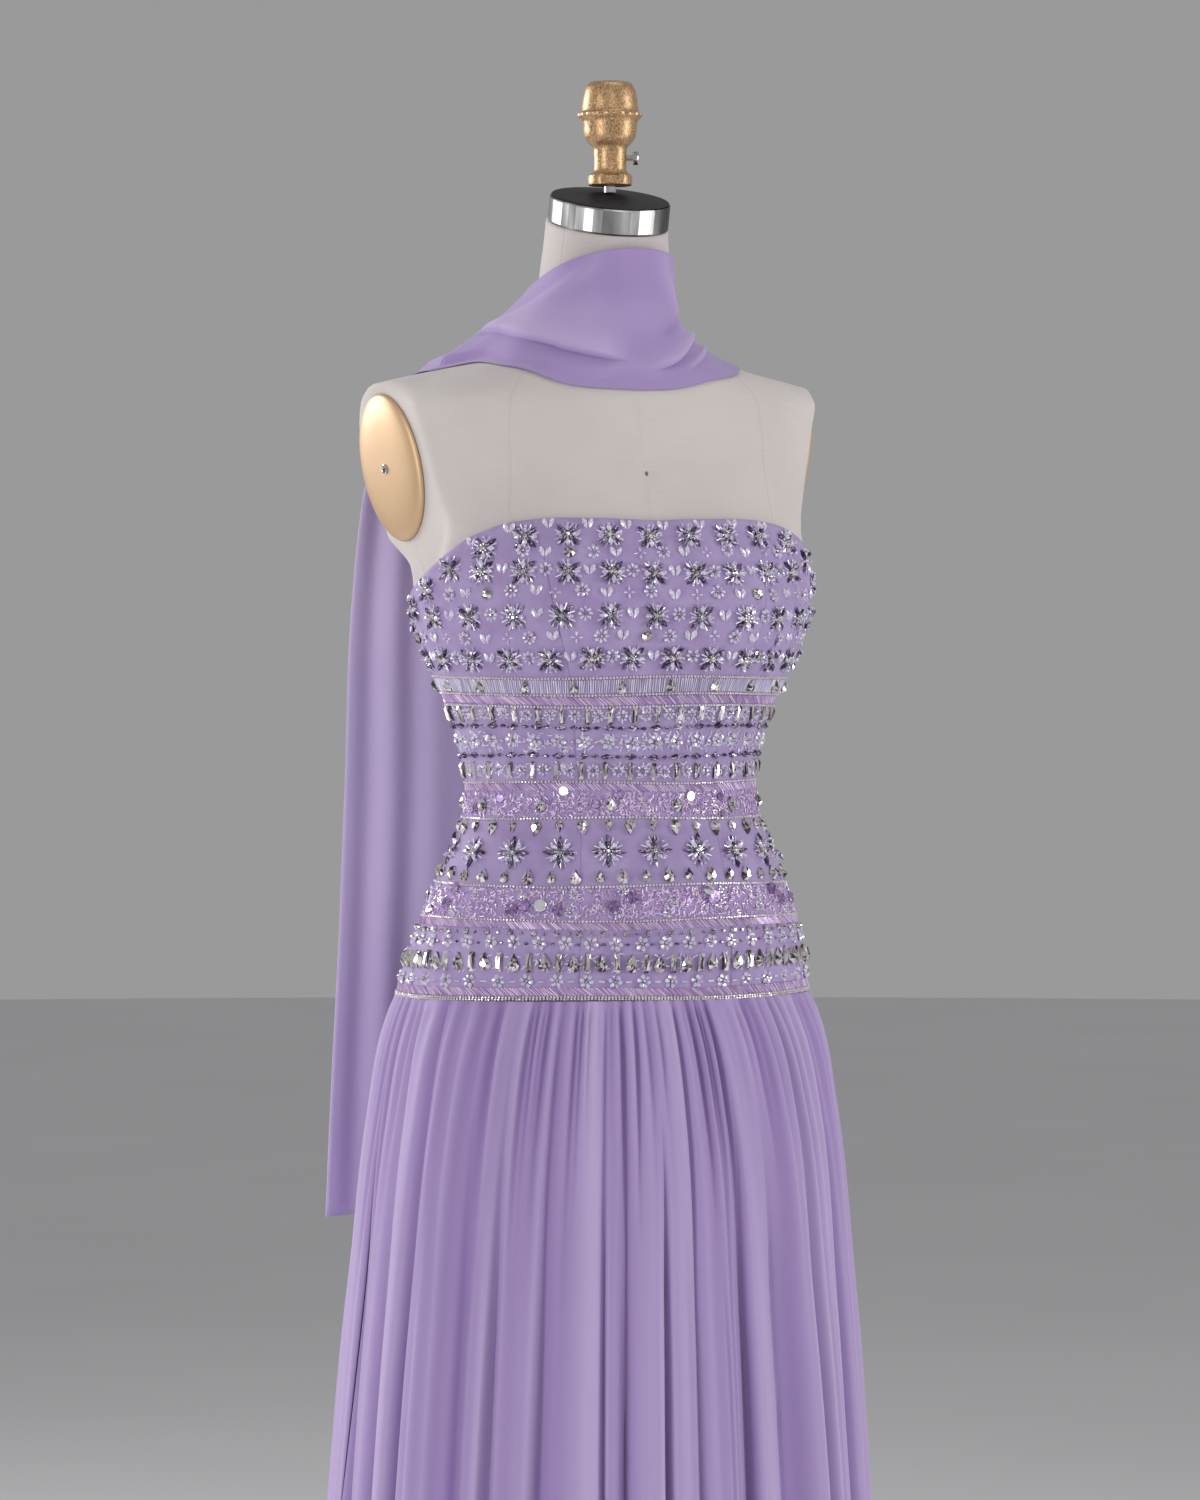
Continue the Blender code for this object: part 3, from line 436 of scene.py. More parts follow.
class Paint:
    """A material with a Principled shader and short ways to add texture to it."""

    def __init__(self, name, rough=0.5, metal=0.0, **constants):
        self.made = bpy.data.materials.new(name)
        self.made.use_nodes = True
        self.tree = self.made.node_tree
        self.shader = self.tree.nodes["Principled BSDF"]
        self.shader.inputs["Roughness"].default_value = rough
        self.shader.inputs["Metallic"].default_value = metal
        for socket, value in constants.items():
            self.shader.inputs[socket.replace("_", " ")].default_value = value
        self.place = self.node("ShaderNodeTexCoord")

    def node(self, kind, **inputs):
        made = self.tree.nodes.new(kind)
        for key, value in inputs.items():
            if key in ("operation", "data_type", "wave_type", "bands_direction", "attribute_name",
                       "blend_type"):
                setattr(made, key, value)
                continue
            numbered = key[0] == "i" and key[1:].isdigit()
            socket = made.inputs[int(key[1:]) if numbered else key.replace("_", " ")]
            if isinstance(value, bpy.types.NodeSocket):
                self.tree.links.new(value, socket)
            else:
                socket.default_value = value
        return made

    def vector(self, what, a, b, out="Vector"):
        return self.node("ShaderNodeVectorMath", operation=what, i0=a, i1=b).outputs[out]

    def noise(self, scale, detail=3.0, stretch=None):
        place = self.place.outputs["Object"]
        if stretch:
            place = self.vector("MULTIPLY", place, stretch)
        return self.node("ShaderNodeTexNoise", Vector=place, Scale=scale, Detail=detail).outputs["Fac"]

    def ramp(self, value, *stops):
        made = self.node("ShaderNodeValToRGB", Fac=value)
        bar = made.color_ramp.elements
        while len(bar) < len(stops):
            bar.new(0.5)
        for element, (where, colour) in zip(bar, stops):
            element.position = where
            element.color = (*colour, 1.0)
        return made.outputs["Color"]

    def mark(self, name):
        return self.node("ShaderNodeAttribute", attribute_name=name).outputs["Fac"]

    def maths(self, what, a, b=0.0):
        return self.node("ShaderNodeMath", operation=what, i0=a, i1=b).outputs[0]

    def times(self, a, b):
        return self.maths("MULTIPLY", a, b)

    def plus(self, a, b):
        return self.maths("ADD", a, b)

    def fade(self, distance, reach):
        """One at no distance, falling to nothing at the reach."""
        share = self.maths("MINIMUM", self.maths("DIVIDE", distance, reach), 1.0)
        return self.maths("SUBTRACT", 1.0, share)

    def mix(self, share, a, b, how="MIX"):
        made = self.node("ShaderNodeMix", data_type="RGBA", blend_type=how)
        for key, value in ((0, share), (6, a), (7, b)):
            if isinstance(value, bpy.types.NodeSocket):
                self.tree.links.new(value, made.inputs[key])
            elif key:
                made.inputs[key].default_value = (*value, 1.0)
            else:
                made.inputs[key].default_value = value
        return made.outputs[2]

    def colour(self, value):
        self.tree.links.new(value, self.shader.inputs["Base Color"])

    def roughness(self, value):
        self.tree.links.new(value, self.shader.inputs["Roughness"])

    def bump(self, height, distance, strength=1.0):
        made = self.node("ShaderNodeBump", Height=height, Distance=distance, Strength=strength)
        self.tree.links.new(made.outputs["Normal"], self.shader.inputs["Normal"])

    def weave(self, thread):
        """Height of a plain weave with threads a given distance apart, from the cut's UVs."""
        scale = 0.314 / thread
        bands = [self.node("ShaderNodeTexWave", wave_type="BANDS", bands_direction=way,
                           Vector=self.place.outputs["UV"], Scale=scale, Distortion=0.6,
                           Detail=1.0).outputs["Fac"] for way in ("X", "Y")]
        return self.maths("MAXIMUM", *bands)


def linen_paint():
    p = Paint("linen_cover", 0.9, Sheen_Weight=0.12, Sheen_Roughness=0.6, Specular_IOR_Level=0.25)
    base = p.ramp(p.noise(9.0, 5.0), (0.3, (0.615, 0.560, 0.540)), (0.7, (0.685, 0.630, 0.605)))
    slub = p.ramp(p.noise(60.0, 4.0, (1.0, 1.0, 14.0)), (0.35, (0.97, 0.97, 0.965)), (0.65, WHITE))
    base = p.mix(1.0, base, slub, "MULTIPLY")
    near = 1.0
    for name in ("seam_front", "seam_back", "seam_side", "seam_mid"):
        away = p.maths("DIVIDE", p.maths("ABSOLUTE", p.mark(name)), COVER_SEAM_HALF)
        near = p.maths("MINIMUM", near, away)
    seam = p.maths("SUBTRACT", 1.0, near)
    base = p.mix(p.times(seam, 0.10), base, (0.36, 0.32, 0.28))
    place = p.place.outputs["Object"]
    flat = p.vector("MULTIPLY", place, (1.0, 0.0, 0.7))
    off = p.vector("DISTANCE", flat, (PIN_X, 0.0, PIN_Z * 0.7), "Value")
    front = p.maths("LESS_THAN", p.node("ShaderNodeSeparateXYZ", i0=place).outputs["Y"], 0.0)
    pin = p.times(p.fade(off, 0.0017), front)
    dent = p.fade(off, 0.013)
    dent = p.times(p.times(dent, dent), front)
    p.colour(p.mix(p.maths("MINIMUM", p.times(pin, 2.2), 0.9), base, (0.10, 0.08, 0.07)))
    height = p.maths("SUBTRACT", p.times(p.weave(0.0006), 0.10), p.times(seam, 0.5))
    height = p.plus(height, p.times(p.noise(700.0, 2.0), 0.12))
    p.bump(p.maths("SUBTRACT", height, p.times(dent, 3.0)), 0.0009, 0.7)
    return p.made


def chiffon_paint():
    """Fine matt chiffon with crepe threads, with painted shade in the hollows of its folds, painted
    light on their ridges and edges, and painted light on the scarf's tails.
    """
    p = Paint("lilac_chiffon_painted_light_and_shade", 0.82, Sheen_Weight=0.35, Sheen_Roughness=0.45, Specular_IOR_Level=0.2)
    # Painted shade and light: the fold mark darkens the cloth in the hollows of its folds and lightens
    # it on their ridges and edges
    base = p.ramp(p.mark("fold"), (0.0, (0.310, 0.210, 0.470)), (0.45, (0.430, 0.318, 0.590)),
                  (1.0, (0.540, 0.425, 0.690)))
    # Painted light: the scarf's tails are lightened as if lit through
    base = p.mix(p.mark("thin"), base, p.mix(0.65, base, (0.700, 0.600, 0.860)))
    cloud = p.ramp(p.noise(7.0), (0.3, (0.955, 0.95, 0.965)), (0.7, WHITE))
    p.colour(p.mix(1.0, base, cloud, "MULTIPLY"))
    p.bump(p.plus(p.weave(0.00045), p.times(p.noise(1600.0, 2.0), 0.8)), 0.00012, 0.6)
    return p.made


def bodice_paint():
    p = Paint("beaded_ground", 0.7, Sheen_Weight=0.3, Sheen_Roughness=0.4, Specular_IOR_Level=0.3)
    p.colour(p.ramp(p.noise(40.0, 4.0), (0.3, (0.370, 0.272, 0.515)), (0.7, (0.475, 0.368, 0.620))))
    p.bump(p.plus(p.weave(0.0005), p.times(p.noise(900.0, 2.0), 0.6)), 0.0002, 0.6)
    return p.made


def brushed(name, rough, streak):
    """A brushed metal and its streaks, which its colours go by."""
    p = Paint(name, rough, 1.0, Anisotropic=0.55)
    line = p.noise(90.0, 6.0, streak)
    p.roughness(p.plus(p.times(line, 0.16), rough - 0.08))
    p.bump(line, 0.0002, 0.25)
    return p, line


def stand_paint():
    p, line = brushed("brushed_stand", 0.34, (1.0, 1.0, 0.1))
    p.colour(p.ramp(line, (0.32, (0.4756, 0.4756, 0.492)), (0.68, (0.58, 0.58, 0.60))))
    return p.made


def ring_paint():
    """Brushed steel ring, with painted reflections: bands painted lighter and darker round its girth."""
    p, line = brushed("brushed_ring_painted_reflections", 0.30, (1.0, 1.0, 0.03))
    # Painted reflections: fixed light and dark bands across the ring's front stand for the studio lights
    # mirrored in the steel
    across = p.vector("DOT_PRODUCT", p.place.outputs["Object"], (9.53, -3.65, 0.0), "Value")
    share = p.plus(across, 0.5 + 3.65 * NECK_TOP_Y)
    tones = ((0.02, 0.12), (0.12, 0.36), (0.20, 0.82), (0.27, 0.52), (0.34, 0.72), (0.42, 0.32),
             (0.54, 0.54), (0.64, 0.88), (0.74, 0.64), (0.82, 0.80), (0.90, 0.34), (0.98, 0.10))
    band = p.ramp(share, *((place, (0.95 * tone, 0.94 * tone, 0.93 * tone)) for place, tone in tones))
    streaks = p.ramp(line, (0.32, (0.72, 0.72, 0.72)), (0.68, WHITE))
    p.colour(p.mix(1.0, band, streaks, "MULTIPLY"))
    return p.made


def bronze_paint():
    p = Paint("speckled_bronze", 0.4, 0.70, Coat_Weight=0.25, Coat_Roughness=0.2)
    speck = p.noise(900.0, 4.0)
    base = p.ramp(speck, (0.36, (0.22, 0.120, 0.055)), (0.50, (0.52, 0.315, 0.150)),
                  (0.66, (0.84, 0.560, 0.310)))
    p.colour(p.mix(p.times(p.noise(70.0), 0.35), base, (0.60, 0.385, 0.200)))
    p.roughness(p.plus(p.times(speck, 0.25), 0.24))
    p.bump(speck, 0.0004, 0.5)
    return p.made


def gold_paint():
    p = Paint("gold_lacquer", 0.42, 0.50, Coat_Weight=0.2, Coat_Roughness=0.2)
    p.colour(p.ramp(p.noise(18.0, 4.0), (0.3, (0.640, 0.430, 0.245)), (0.7, (0.670, 0.455, 0.265))))
    p.roughness(p.plus(p.times(p.noise(90.0), 0.03), 0.42))
    p.bump(p.noise(500.0), 0.00003, 0.05)
    return p.made


def dark_paint():
    p = Paint("dark_satin_plate", 0.55, 0.0, Specular_IOR_Level=0.3)
    p.colour(p.ramp(p.noise(120.0, 4.0), (0.3, (0.012, 0.012, 0.014)), (0.7, (0.030, 0.030, 0.033))))
    p.bump(p.noise(600.0), 0.0002, 0.3)
    return p.made


def chrome_paint():
    p = Paint("polished_chrome", 0.12, 1.0)
    p.colour(p.ramp(p.noise(150.0), (0.3, (0.60, 0.60, 0.62)), (0.7, (0.78, 0.78, 0.80))))
    p.roughness(p.plus(p.times(p.noise(300.0, 4.0), 0.10), 0.06))
    return p.made


def bead_paint(name, rough, metal, coat, stops):
    """Glass beads: each facet takes a random painted reflection, dark or glinting, and each bead a
    little tone of its own.
    """
    p = Paint(name, rough, metal, Coat_Weight=coat)
    own = p.mark("tone")
    # Painted reflections: the facet mark gives each facet a dark or glinting tone
    p.colour(p.ramp(p.plus(p.times(p.mark("facet"), 0.75), p.times(own, 0.25)), *stops))
    p.roughness(p.plus(p.times(own, 0.08), rough))
    return p.made


linen = linen_paint()
chiffon = chiffon_paint()
ground = bodice_paint()
ring_steel = ring_paint()
stand_steel = stand_paint()
bronze = bronze_paint()
gold = gold_paint()
dark = dark_paint()
chrome = chrome_paint()


def plate_axis(side):
    flat = math.cos(PLATE_LEAN)
    return np.array((side * flat * math.cos(PLATE_TURN), -flat * math.sin(PLATE_TURN),
                     -math.sin(PLATE_LEAN)))


def plate_foot(side, out=PLATE_LIFT):
    return np.array((side * PLATE_CENTRE[0], *PLATE_CENTRE[1:])) + out * plate_axis(side)


def flatten_seats(points):
    """Brings the form's points to the flat oval on which each arm plate sits."""
    for side in (-1, 1):
        axis = plate_axis(side)
        away = points - plate_foot(side, 0.0)
        beyond = away @ axis
        across = unit(np.cross((0.0, 0.0, 1.0), axis))
        up = np.cross(axis, across)
        share = np.hypot(away @ up / (PLATE_HEIGHT / 2), away @ across / (PLATE_WIDTH / 2))
        edge = np.where(beyond > 0, SEAT_EDGE + SEAT_WIDER, SEAT_EDGE)
        weight = 1.0 - soft_step(share, edge, edge + SEAT_REACH - SEAT_EDGE)
        weight = weight * soft_step(beyond, -SEAT_DEEP, 0.03 - SEAT_DEEP)
        weight = np.where(points[..., 0] * side > 0, weight, 0.0)
        points = points - (weight * beyond)[..., None] * axis
    return points


def build_form():
    """Linen covered torso with its seams, its pin mark and a flat seat for each arm plate."""
    z = np.concatenate((np.linspace(FORM_BOTTOM, 1.20, 44), np.linspace(1.205, NECK_TOP, 84)))
    segments = 224
    angle = 2 * math.pi * np.arange(segments) / segments
    points = form_points(angle[None, :], z[:, None])
    lift = np.clip((z - NECK_TILT_FROM) / (NECK_TOP - NECK_TILT_FROM), 0.0, None)
    points[..., 2] += lift[:, None] * math.tan(NECK_TILT) * (points[..., 1] - NECK_TOP_Y)
    points = flatten_seats(points)
    x, high = points[..., 0], points[..., 2]
    pull = 0.0011 * np.exp(-((x + 0.0055) / 0.006) ** 2) * soft_step(high, 1.272, 1.290)
    pull = pull * (1.0 - soft_step(high, 1.295, 1.325))
    pull = pull - 0.0016 * np.exp(-(np.hypot(x - PIN_X, high - PIN_Z) / 0.008) ** 2)
    points[..., 1] -= np.where(points[..., 1] < 0, pull, 0.0)
    degrees = np.abs(turned(angle))[None, :]
    radius = np.hypot(points[..., 0], points[..., 1])
    front, back = (np.interp(z, *np.array(table).T)[:, None] for table in (COVER_FRONT, COVER_BACK))
    seams = {"seam_" + word: ("POINT", np.radians(degrees - line) * radius) for word, line in
             (("front", front), ("back", back), ("side", SIDE_SEAM), ("mid", 180.0))}
    faces = grid_faces(len(z), segments, closed=True).tolist()
    top = [(len(z) - 1) * segments + k for k in range(segments)]
    faces.append(tuple(top))
    faces.append(tuple(range(segments))[::-1])
    along = np.cumsum(np.linalg.norm(np.diff(points, axis=1, append=points[:, :1]), axis=-1), axis=1)
    uv = np.stack((along, np.repeat(z[:, None], segments, axis=1)), axis=-1)
    make("form_cover", points, faces, linen, ("form_torso",), marks=seams, uv=uv)


def build_fittings():
    """Finer arm plates, their screws, the neck plate and the finial."""
    bar = np.array([(x, y, z) for x in (-1, 1) for y in (-1, 1) for z in (0, 1)], float)
    sides = np.array(((0, 1, 3, 2), (4, 6, 7, 5), (0, 4, 5, 1), (2, 3, 7, 6), (0, 2, 6, 4),
                      (1, 5, 7, 3)))
    for side, word in ((-1, "right"), (1, "left")):
        axis = plate_axis(side)
        points, faces = lathe(PLATE, 96)
        points = points * np.array((PLATE_HEIGHT, PLATE_WIDTH, 1.0))
        make("arm_plate_shell_" + word, aim(points, plate_foot(side), axis), faces, gold,
             ("arm_plate_" + word,))
        top = plate_foot(side, PLATE_LIFT + PLATE_THICK + PLATE_LIFT)
        points, faces = lathe(SCREW_HEAD, 36)
        make("plate_screw_head_" + word, aim(points, top, axis), faces, chrome,
             ("plate_screw_" + word,), sharp=40)
        slots = [aim(bar * np.array(size), top, axis)
                 for size in ((0.0026, 0.0004, 0.00125), (0.0004, 0.0026, 0.00126))]
        make("plate_screw_cross_" + word, np.concatenate(slots), np.concatenate((sides, sides + 8)),
             dark, smooth=False)

    axis = (0.0, -math.sin(NECK_TILT), math.cos(NECK_TILT))
    foot = np.array((0.0, NECK_TOP_Y, NECK_TOP)) + 0.0006 * np.array(axis)
    points, faces = lathe(NECK_DOME, 96)
    make("neck_plate_dome", aim(points, foot, axis), faces, dark, ("neck_cap",), sharp=40)

    def knurl(k, angle):
        if 19 <= k <= 21:
            return 1.0 + 0.018 * np.cos(28 * angle)
        if k in (3, 4):
            flat = np.abs(np.cos(angle - math.radians(-105.0)))
            return 1.0 - 0.10 * soft_step(flat, 0.80, 1.0)
        return 1.0

    points, faces = lathe(FINIAL, 112, knurl)
    make("finial_casting", points, faces, bronze, ("finial",), sharp=35)


def repaint():
    """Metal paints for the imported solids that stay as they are."""
    for node, paint in (("neck_ring", ring_steel), ("finial_stem", chrome),
                        ("thumb_screw", chrome), ("stand_pole", stand_steel),
                        ("stand_base", stand_steel), ("zip_slider", chrome), ("zip_pull", chrome)):
        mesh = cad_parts[node].data
        mesh.materials.clear()
        mesh.materials.append(paint)


def build_bodice():
    """Five cloth panels under the beads, each turned in a little at its seams."""
    edge = np.array((0.0, 0.004, 0.009, 0.015, 0.024))
    across = np.concatenate((edge, np.linspace(0.036, 0.964, 44), 1.0 - edge[::-1]))
    heights = np.linspace(HIP_SEAM, BODICE_TOP, 84)
    seam, side, back = princess(heights), SIDE_SEAM + 0 * heights, 180.0 + 0 * heights
    panels = (("bodice_front", -seam, seam), ("bodice_side_right", -side, -seam),
              ("bodice_side_left", seam, side), ("bodice_back_right", -back, -side),
              ("bodice_back_left", side, back))
    made = []
    for node, start, end in panels:
        low, high = start[:, None] + PANEL_GAP_DEGREES, end[:, None] - PANEL_GAP_DEGREES
        angle = np.radians(low + (high - low) * across[None, :])
        share = np.clip((heights - EDGE_FROM) / (BODICE_TOP - EDGE_FROM), 0.0, 1.0)[:, None]
        z = np.where(share > 0, EDGE_FROM + share * (top_edge(angle) - EDGE_FROM),
                     heights[:, None] + 0 * angle)
        width = np.abs(angle[:, -1:] - angle[:, :1]) * PANEL_RADIUS
        from_edge = np.minimum(across, 1 - across)[None, :] * width
        out = CLOTH_OUT - 0.0004 * np.exp(-(from_edge / 0.0014) ** 2)
        out = out - 0.0006 * np.exp(-((heights[:, None] - HIP_SEAM) / 0.002) ** 2)
        out = out + 0.0005 * np.exp(-(((top_edge(angle) - z) - 0.0012) / 0.0016) ** 2)
        made.append(shell(node, form_points(angle, z, out), BODICE_THICK, ground))
    return made


def hung_folds(place):
    """Relief of the broad folds, each a flat panel that ends in a narrow edge, and a share for the
    painted highlight along each edge.
    """
    widths, sizes, ways = np.array(SKIRT_FOLDS).T
    ends = np.concatenate(([0.0], np.cumsum(widths))) / widths.sum()
    turn = np.mod(place + 0.25, 1.0)
    k = np.clip(np.searchsorted(ends, turn, side="right") - 1, 0, len(widths) - 1)
    share = (turn - ends[k]) / (ends[k + 1] - ends[k])
    share = np.where(ways[k] > 0, share, 1.0 - share)
    rise = np.sin(0.5 * math.pi * np.clip(share / 0.80, 0.0, 1.0)) ** 0.8
    fall = np.cos(0.5 * math.pi * np.clip((share - 0.80) / 0.20, 0.0, 1.0))
    edge = np.exp(-((share - 0.84) / 0.05) ** 2)
    return sizes[k] * (2.0 * np.minimum(rise, fall) - 1.0), edge


def skirt_grid(places, heights):
    """Outer points of the gathered skirt, and its painted shade and light from how far each stands out
    of its folds: darker in the hollows, lighter on the ridges, with painted highlights along the fold
    edges.
    """
    place, z = places[None, :], heights[:, None]
    row = at(SKIRT, heights)[:, None, :]
    half_width, widest, front, back, roundness, gather, fold = np.moveaxis(row, -1, 0)
    angle = 2 * math.pi * (place + waves(FOLD_PLACE_WAVES, place))
    radius = section_radius(angle, half_width, widest - front, back - widest, roundness)
    down = HIP_SEAM - z
    merged = soft_step(down, 0.02, 0.30)
    sway = waves(((5, 0.0040, 40.0), (11, 0.0026, 200.0)), place) * soft_step(down, 0.05, 0.7)
    sway = sway + 0.0022 * np.sin(2 * math.pi * (4 * place + down * 1.3)) * soft_step(down, 0.1, 0.8)
    drift = waves(((7, 0.35, 15.0), (13, 0.25, 120.0)), place)
    small = -np.cos(2 * math.pi * (GATHERS * place + drift))
    hung, edge = hung_folds(place + sway)
    relief = gather * small * (0.8 - 0.7 * merged) + fold * (0.45 + 0.55 * merged) * hung
    reach = 0.10 + 0.09 * waves(((19, 0.6, 0.0), (31, 0.4, 90.0), (7, 0.4, 10.0)), place)
    puckers = np.cos(2 * math.pi * (118 * place + waves(((17, 0.30, 50.0), (29, 0.22, 160.0)), place)))
    size = 0.0011 * soft_step(down, -0.004, 0.016) * (1.0 - soft_step(down, 0.02, reach + 0.10))
    relief = relief + size * (1.0 + waves(((23, 0.5, 20.0),), place)) * puckers
    shift = waves(((9, 0.35, 200.0), (21, 0.2, 5.0)), place) + drift
    second = np.cos(2 * math.pi * (79 * place + shift))
    size = 0.0009 * soft_step(down, 0.10, 0.30)
    relief = relief + size * (1.0 + waves(((6, 0.5, 77.0), (15, 0.4, 12.0)), place)) * second
    radius = radius + relief
    points = np.stack((radius * np.sin(angle), widest - radius * np.cos(angle), z + 0 * angle), -1)
    scale = (gather + fold) * 1.15 + 0.0013
    # Painted light and shade: broad lighter and darker stretches that follow the folds, with painted
    # highlights along their edges
    tone = 0.24 * waves(((14, 0.7, 80.0), (27, 0.6, 10.0), (5, 0.4, 170.0)), place + sway)
    return points, np.clip(0.40 + 0.42 * relief / scale + tone + 0.30 * merged * edge, 0.0, 1.0)


def build_skirt():
    heights = np.concatenate((HIP_SEAM - 0.0003 - np.linspace(0, 1, 20) ** 1.6 * 0.10,
                              np.linspace(0.755, 0.030, 34), (0.0205, 0.0200, 0.0108, 0.0100)))
    made = []
    for node, start in (("skirt_front", -0.25), ("skirt_back", 0.25)):
        places = np.linspace(start + 0.00014, start + 0.5 - 0.00014, 481)
        # The second result is the painted shade and light of the folds
        points, fold = skirt_grid(places, heights)
        out = unit(np.concatenate((points[..., :2], 0 * points[..., :1]), axis=-1))
        hem = soft_step(-heights, -0.0203, -0.0200)[:, None, None] * 0.0005
        points = points + out * hem
        made.append(shell(node, points[::-1], SKIRT_THICK, chiffon, {"fold": fold[::-1]}))
    return made


def behind_dress(x, z):
    skirt, form = at(SKIRT, z), at(FORM, z)
    below = z <= HIP_SEAM
    half_width = np.where(below, skirt[..., 0] + BEHIND_SKIRT, form[..., 0] + BEHIND_BODICE)
    widest = np.where(below, skirt[..., 1], form[..., 1])
    back = np.where(below, skirt[..., 3] + BEHIND_SKIRT, form[..., 3] + BEHIND_BODICE)
    share = np.minimum(0.98, np.abs(x) / half_width)
    return widest + (back - widest) * np.sqrt(1 - share**2)


def scarf_points(table, side, along, across):
    """Inner face of a stretch of the scarf, along its stations and across it."""
    numbered = [(k / (len(table) - 1), *row) for k, row in enumerate(table)]
    row = at(numbered, along)[:, None, :]
    t = across[None, :, None] + 0 * row[..., :1]
    hug = row[..., 6:7]
    share = np.concatenate((t**hug, t**hug, t), axis=-1)
    return (row[..., :3] + (row[..., 3:6] - row[..., :3]) * share) * np.array((side, 1.0, 1.0))


def facing_out(grid):
    normals = unit(np.cross(np.gradient(grid, axis=0), np.gradient(grid, axis=1)))
    away = grid - np.array((0.0, 0.02, 1.30))
    away[:, :, 2] = np.where(grid[:, :, 2] > 1.34, away[:, :, 2] + 0.02, 0.0)
    return normals if float(np.sum(normals * away)) > 0 else -normals


def cowl_folds(s, t):
    """Rise of the folds over the throat, each along its own path of places along and across."""
    rise = 0 * (s + t)
    for kind, width, size, path in COWL:
        first, last = path[0][0], path[-1][0]
        middle = at(path, np.clip(s, first, last))[..., 0]
        span = soft_step(s, first - 0.05, first + 0.05) * (1.0 - soft_step(s, last - 0.05, last + 0.05))
        off = (t - middle) / width
        if kind == "ridge":
            rise = rise + size * span * np.exp(-off**2)
            continue
        above = np.exp(-np.clip(-off, 0.0, None) ** 2) * (1.0 - soft_step(t - middle, -0.004, 0.014))
        below = soft_step(t - middle, -0.004, 0.014) * np.exp(-np.clip(off, 0.0, None) * 3.0)
        rise = rise + size * span * (above - 0.35 * below)
    return rise


def outward(grid, values):
    """A grid's values in the order in which its faces look outwards."""
    turned_in = float(np.sum(grid_normals(grid) * facing_out(grid))) < 0
    return values[:, ::-1] if turned_in else values


def scarf_shell(node, low, **marks):
    """A stretch of the scarf over the points of its inner face."""
    grid = low + facing_out(low) * SCARF_THICK
    marks = {mark: outward(grid, values) for mark, values in marks.items()}
    return shell(node, outward(grid, grid), SCARF_THICK, chiffon, marks)


def build_scarf():
    """The draped stretch over the throat and the two tails down the back."""
    along, across = np.linspace(0.0006, 0.9994, 156), np.linspace(0.0, 1.0, 104)
    low = scarf_points(SCARF_FRONT, 1.0, along, across)
    s, t = along[:, None], across[None, :]
    lift = SCARF_REST + cowl_folds(s, t)
    low = push_out(low + facing_out(low) * lift[..., None], WORN_CLEAR)
    low = settle(low, WORN_CLEAR, soft_step(t, 0.86, 1.0) + 0 * s)
    # Painted shade and light on the cowl: darker where it lies low, lighter on its raised folds
    made = [scarf_shell("scarf_front", low, fold=np.clip(0.28 + lift / 0.009, 0.0, 1.0))]
    along = 0.0006 + 0.9994 * np.linspace(0.0, 1.0, 116) ** 1.4
    across = np.linspace(0.0, 1.0, 52)
    s, t = along[:, None], across[None, :]
    # Painted light on the tails, growing from the shoulder downwards
    thin = soft_step(s, 0.12, 0.45) + 0 * t
    for side, word in ((1.0, "right"), (-1.0, "left")):
        low = scarf_points(SCARF_TAIL if side > 0 else left_tail(), side, along, across)
        share = np.minimum(1.0, s * 3.0)
        lift = 0.0
        for place, width, size in SCARF_FOLDS:
            rise = SCARF_REST + (size - SCARF_REST) * share
            lift = lift + rise * np.exp(-(((t - place) / width) ** 2))
        lift = lift + 0.0010 * share * np.cos(2 * math.pi * (4.3 * t + 0.4 * s * side + 0.2))
        low = low + facing_out(low) * lift[..., None]
        extra = soft_step(s, 0.02, 0.22)
        low = push_out(low, WORN_CLEAR + (TAIL_CLEAR - WORN_CLEAR) * extra + 0 * t)
        low = settle(low, WORN_CLEAR, soft_step(t, 0.86, 1.0) * (1.0 - soft_step(s, 0.03, 0.15)))
        clear = behind_dress(low[..., 0], low[..., 2]) + SCARF_CLEAR
        low[..., 1] = np.where(low[..., 2] < 1.30, np.maximum(low[..., 1], clear), low[..., 1])
        # Painted shade and light on the tails: darker between their folds, lighter on them
        fold = np.clip(0.45 + lift / 0.012, 0.0, 1.0)
        made.append(scarf_shell("scarf_tail_" + word, low, fold=fold, thin=thin))
    return made


def left_tail():
    rows = []
    for k, row in enumerate(SCARF_TAIL):
        share = max(0.0, 1.0 - k / 3.0)
        outer = row[3] + share * (-LEFT_SHOULDER_EDGE - row[3])
        hug = row[6] + share * (SCARF_FRONT[-1][6] - row[6])
        rows.append((row[0] - 0.001 * share, row[1], row[2] - 0.001 * share, outer, row[4],
                     row[5] + 0.001 * share, hug))
    return tuple(rows)


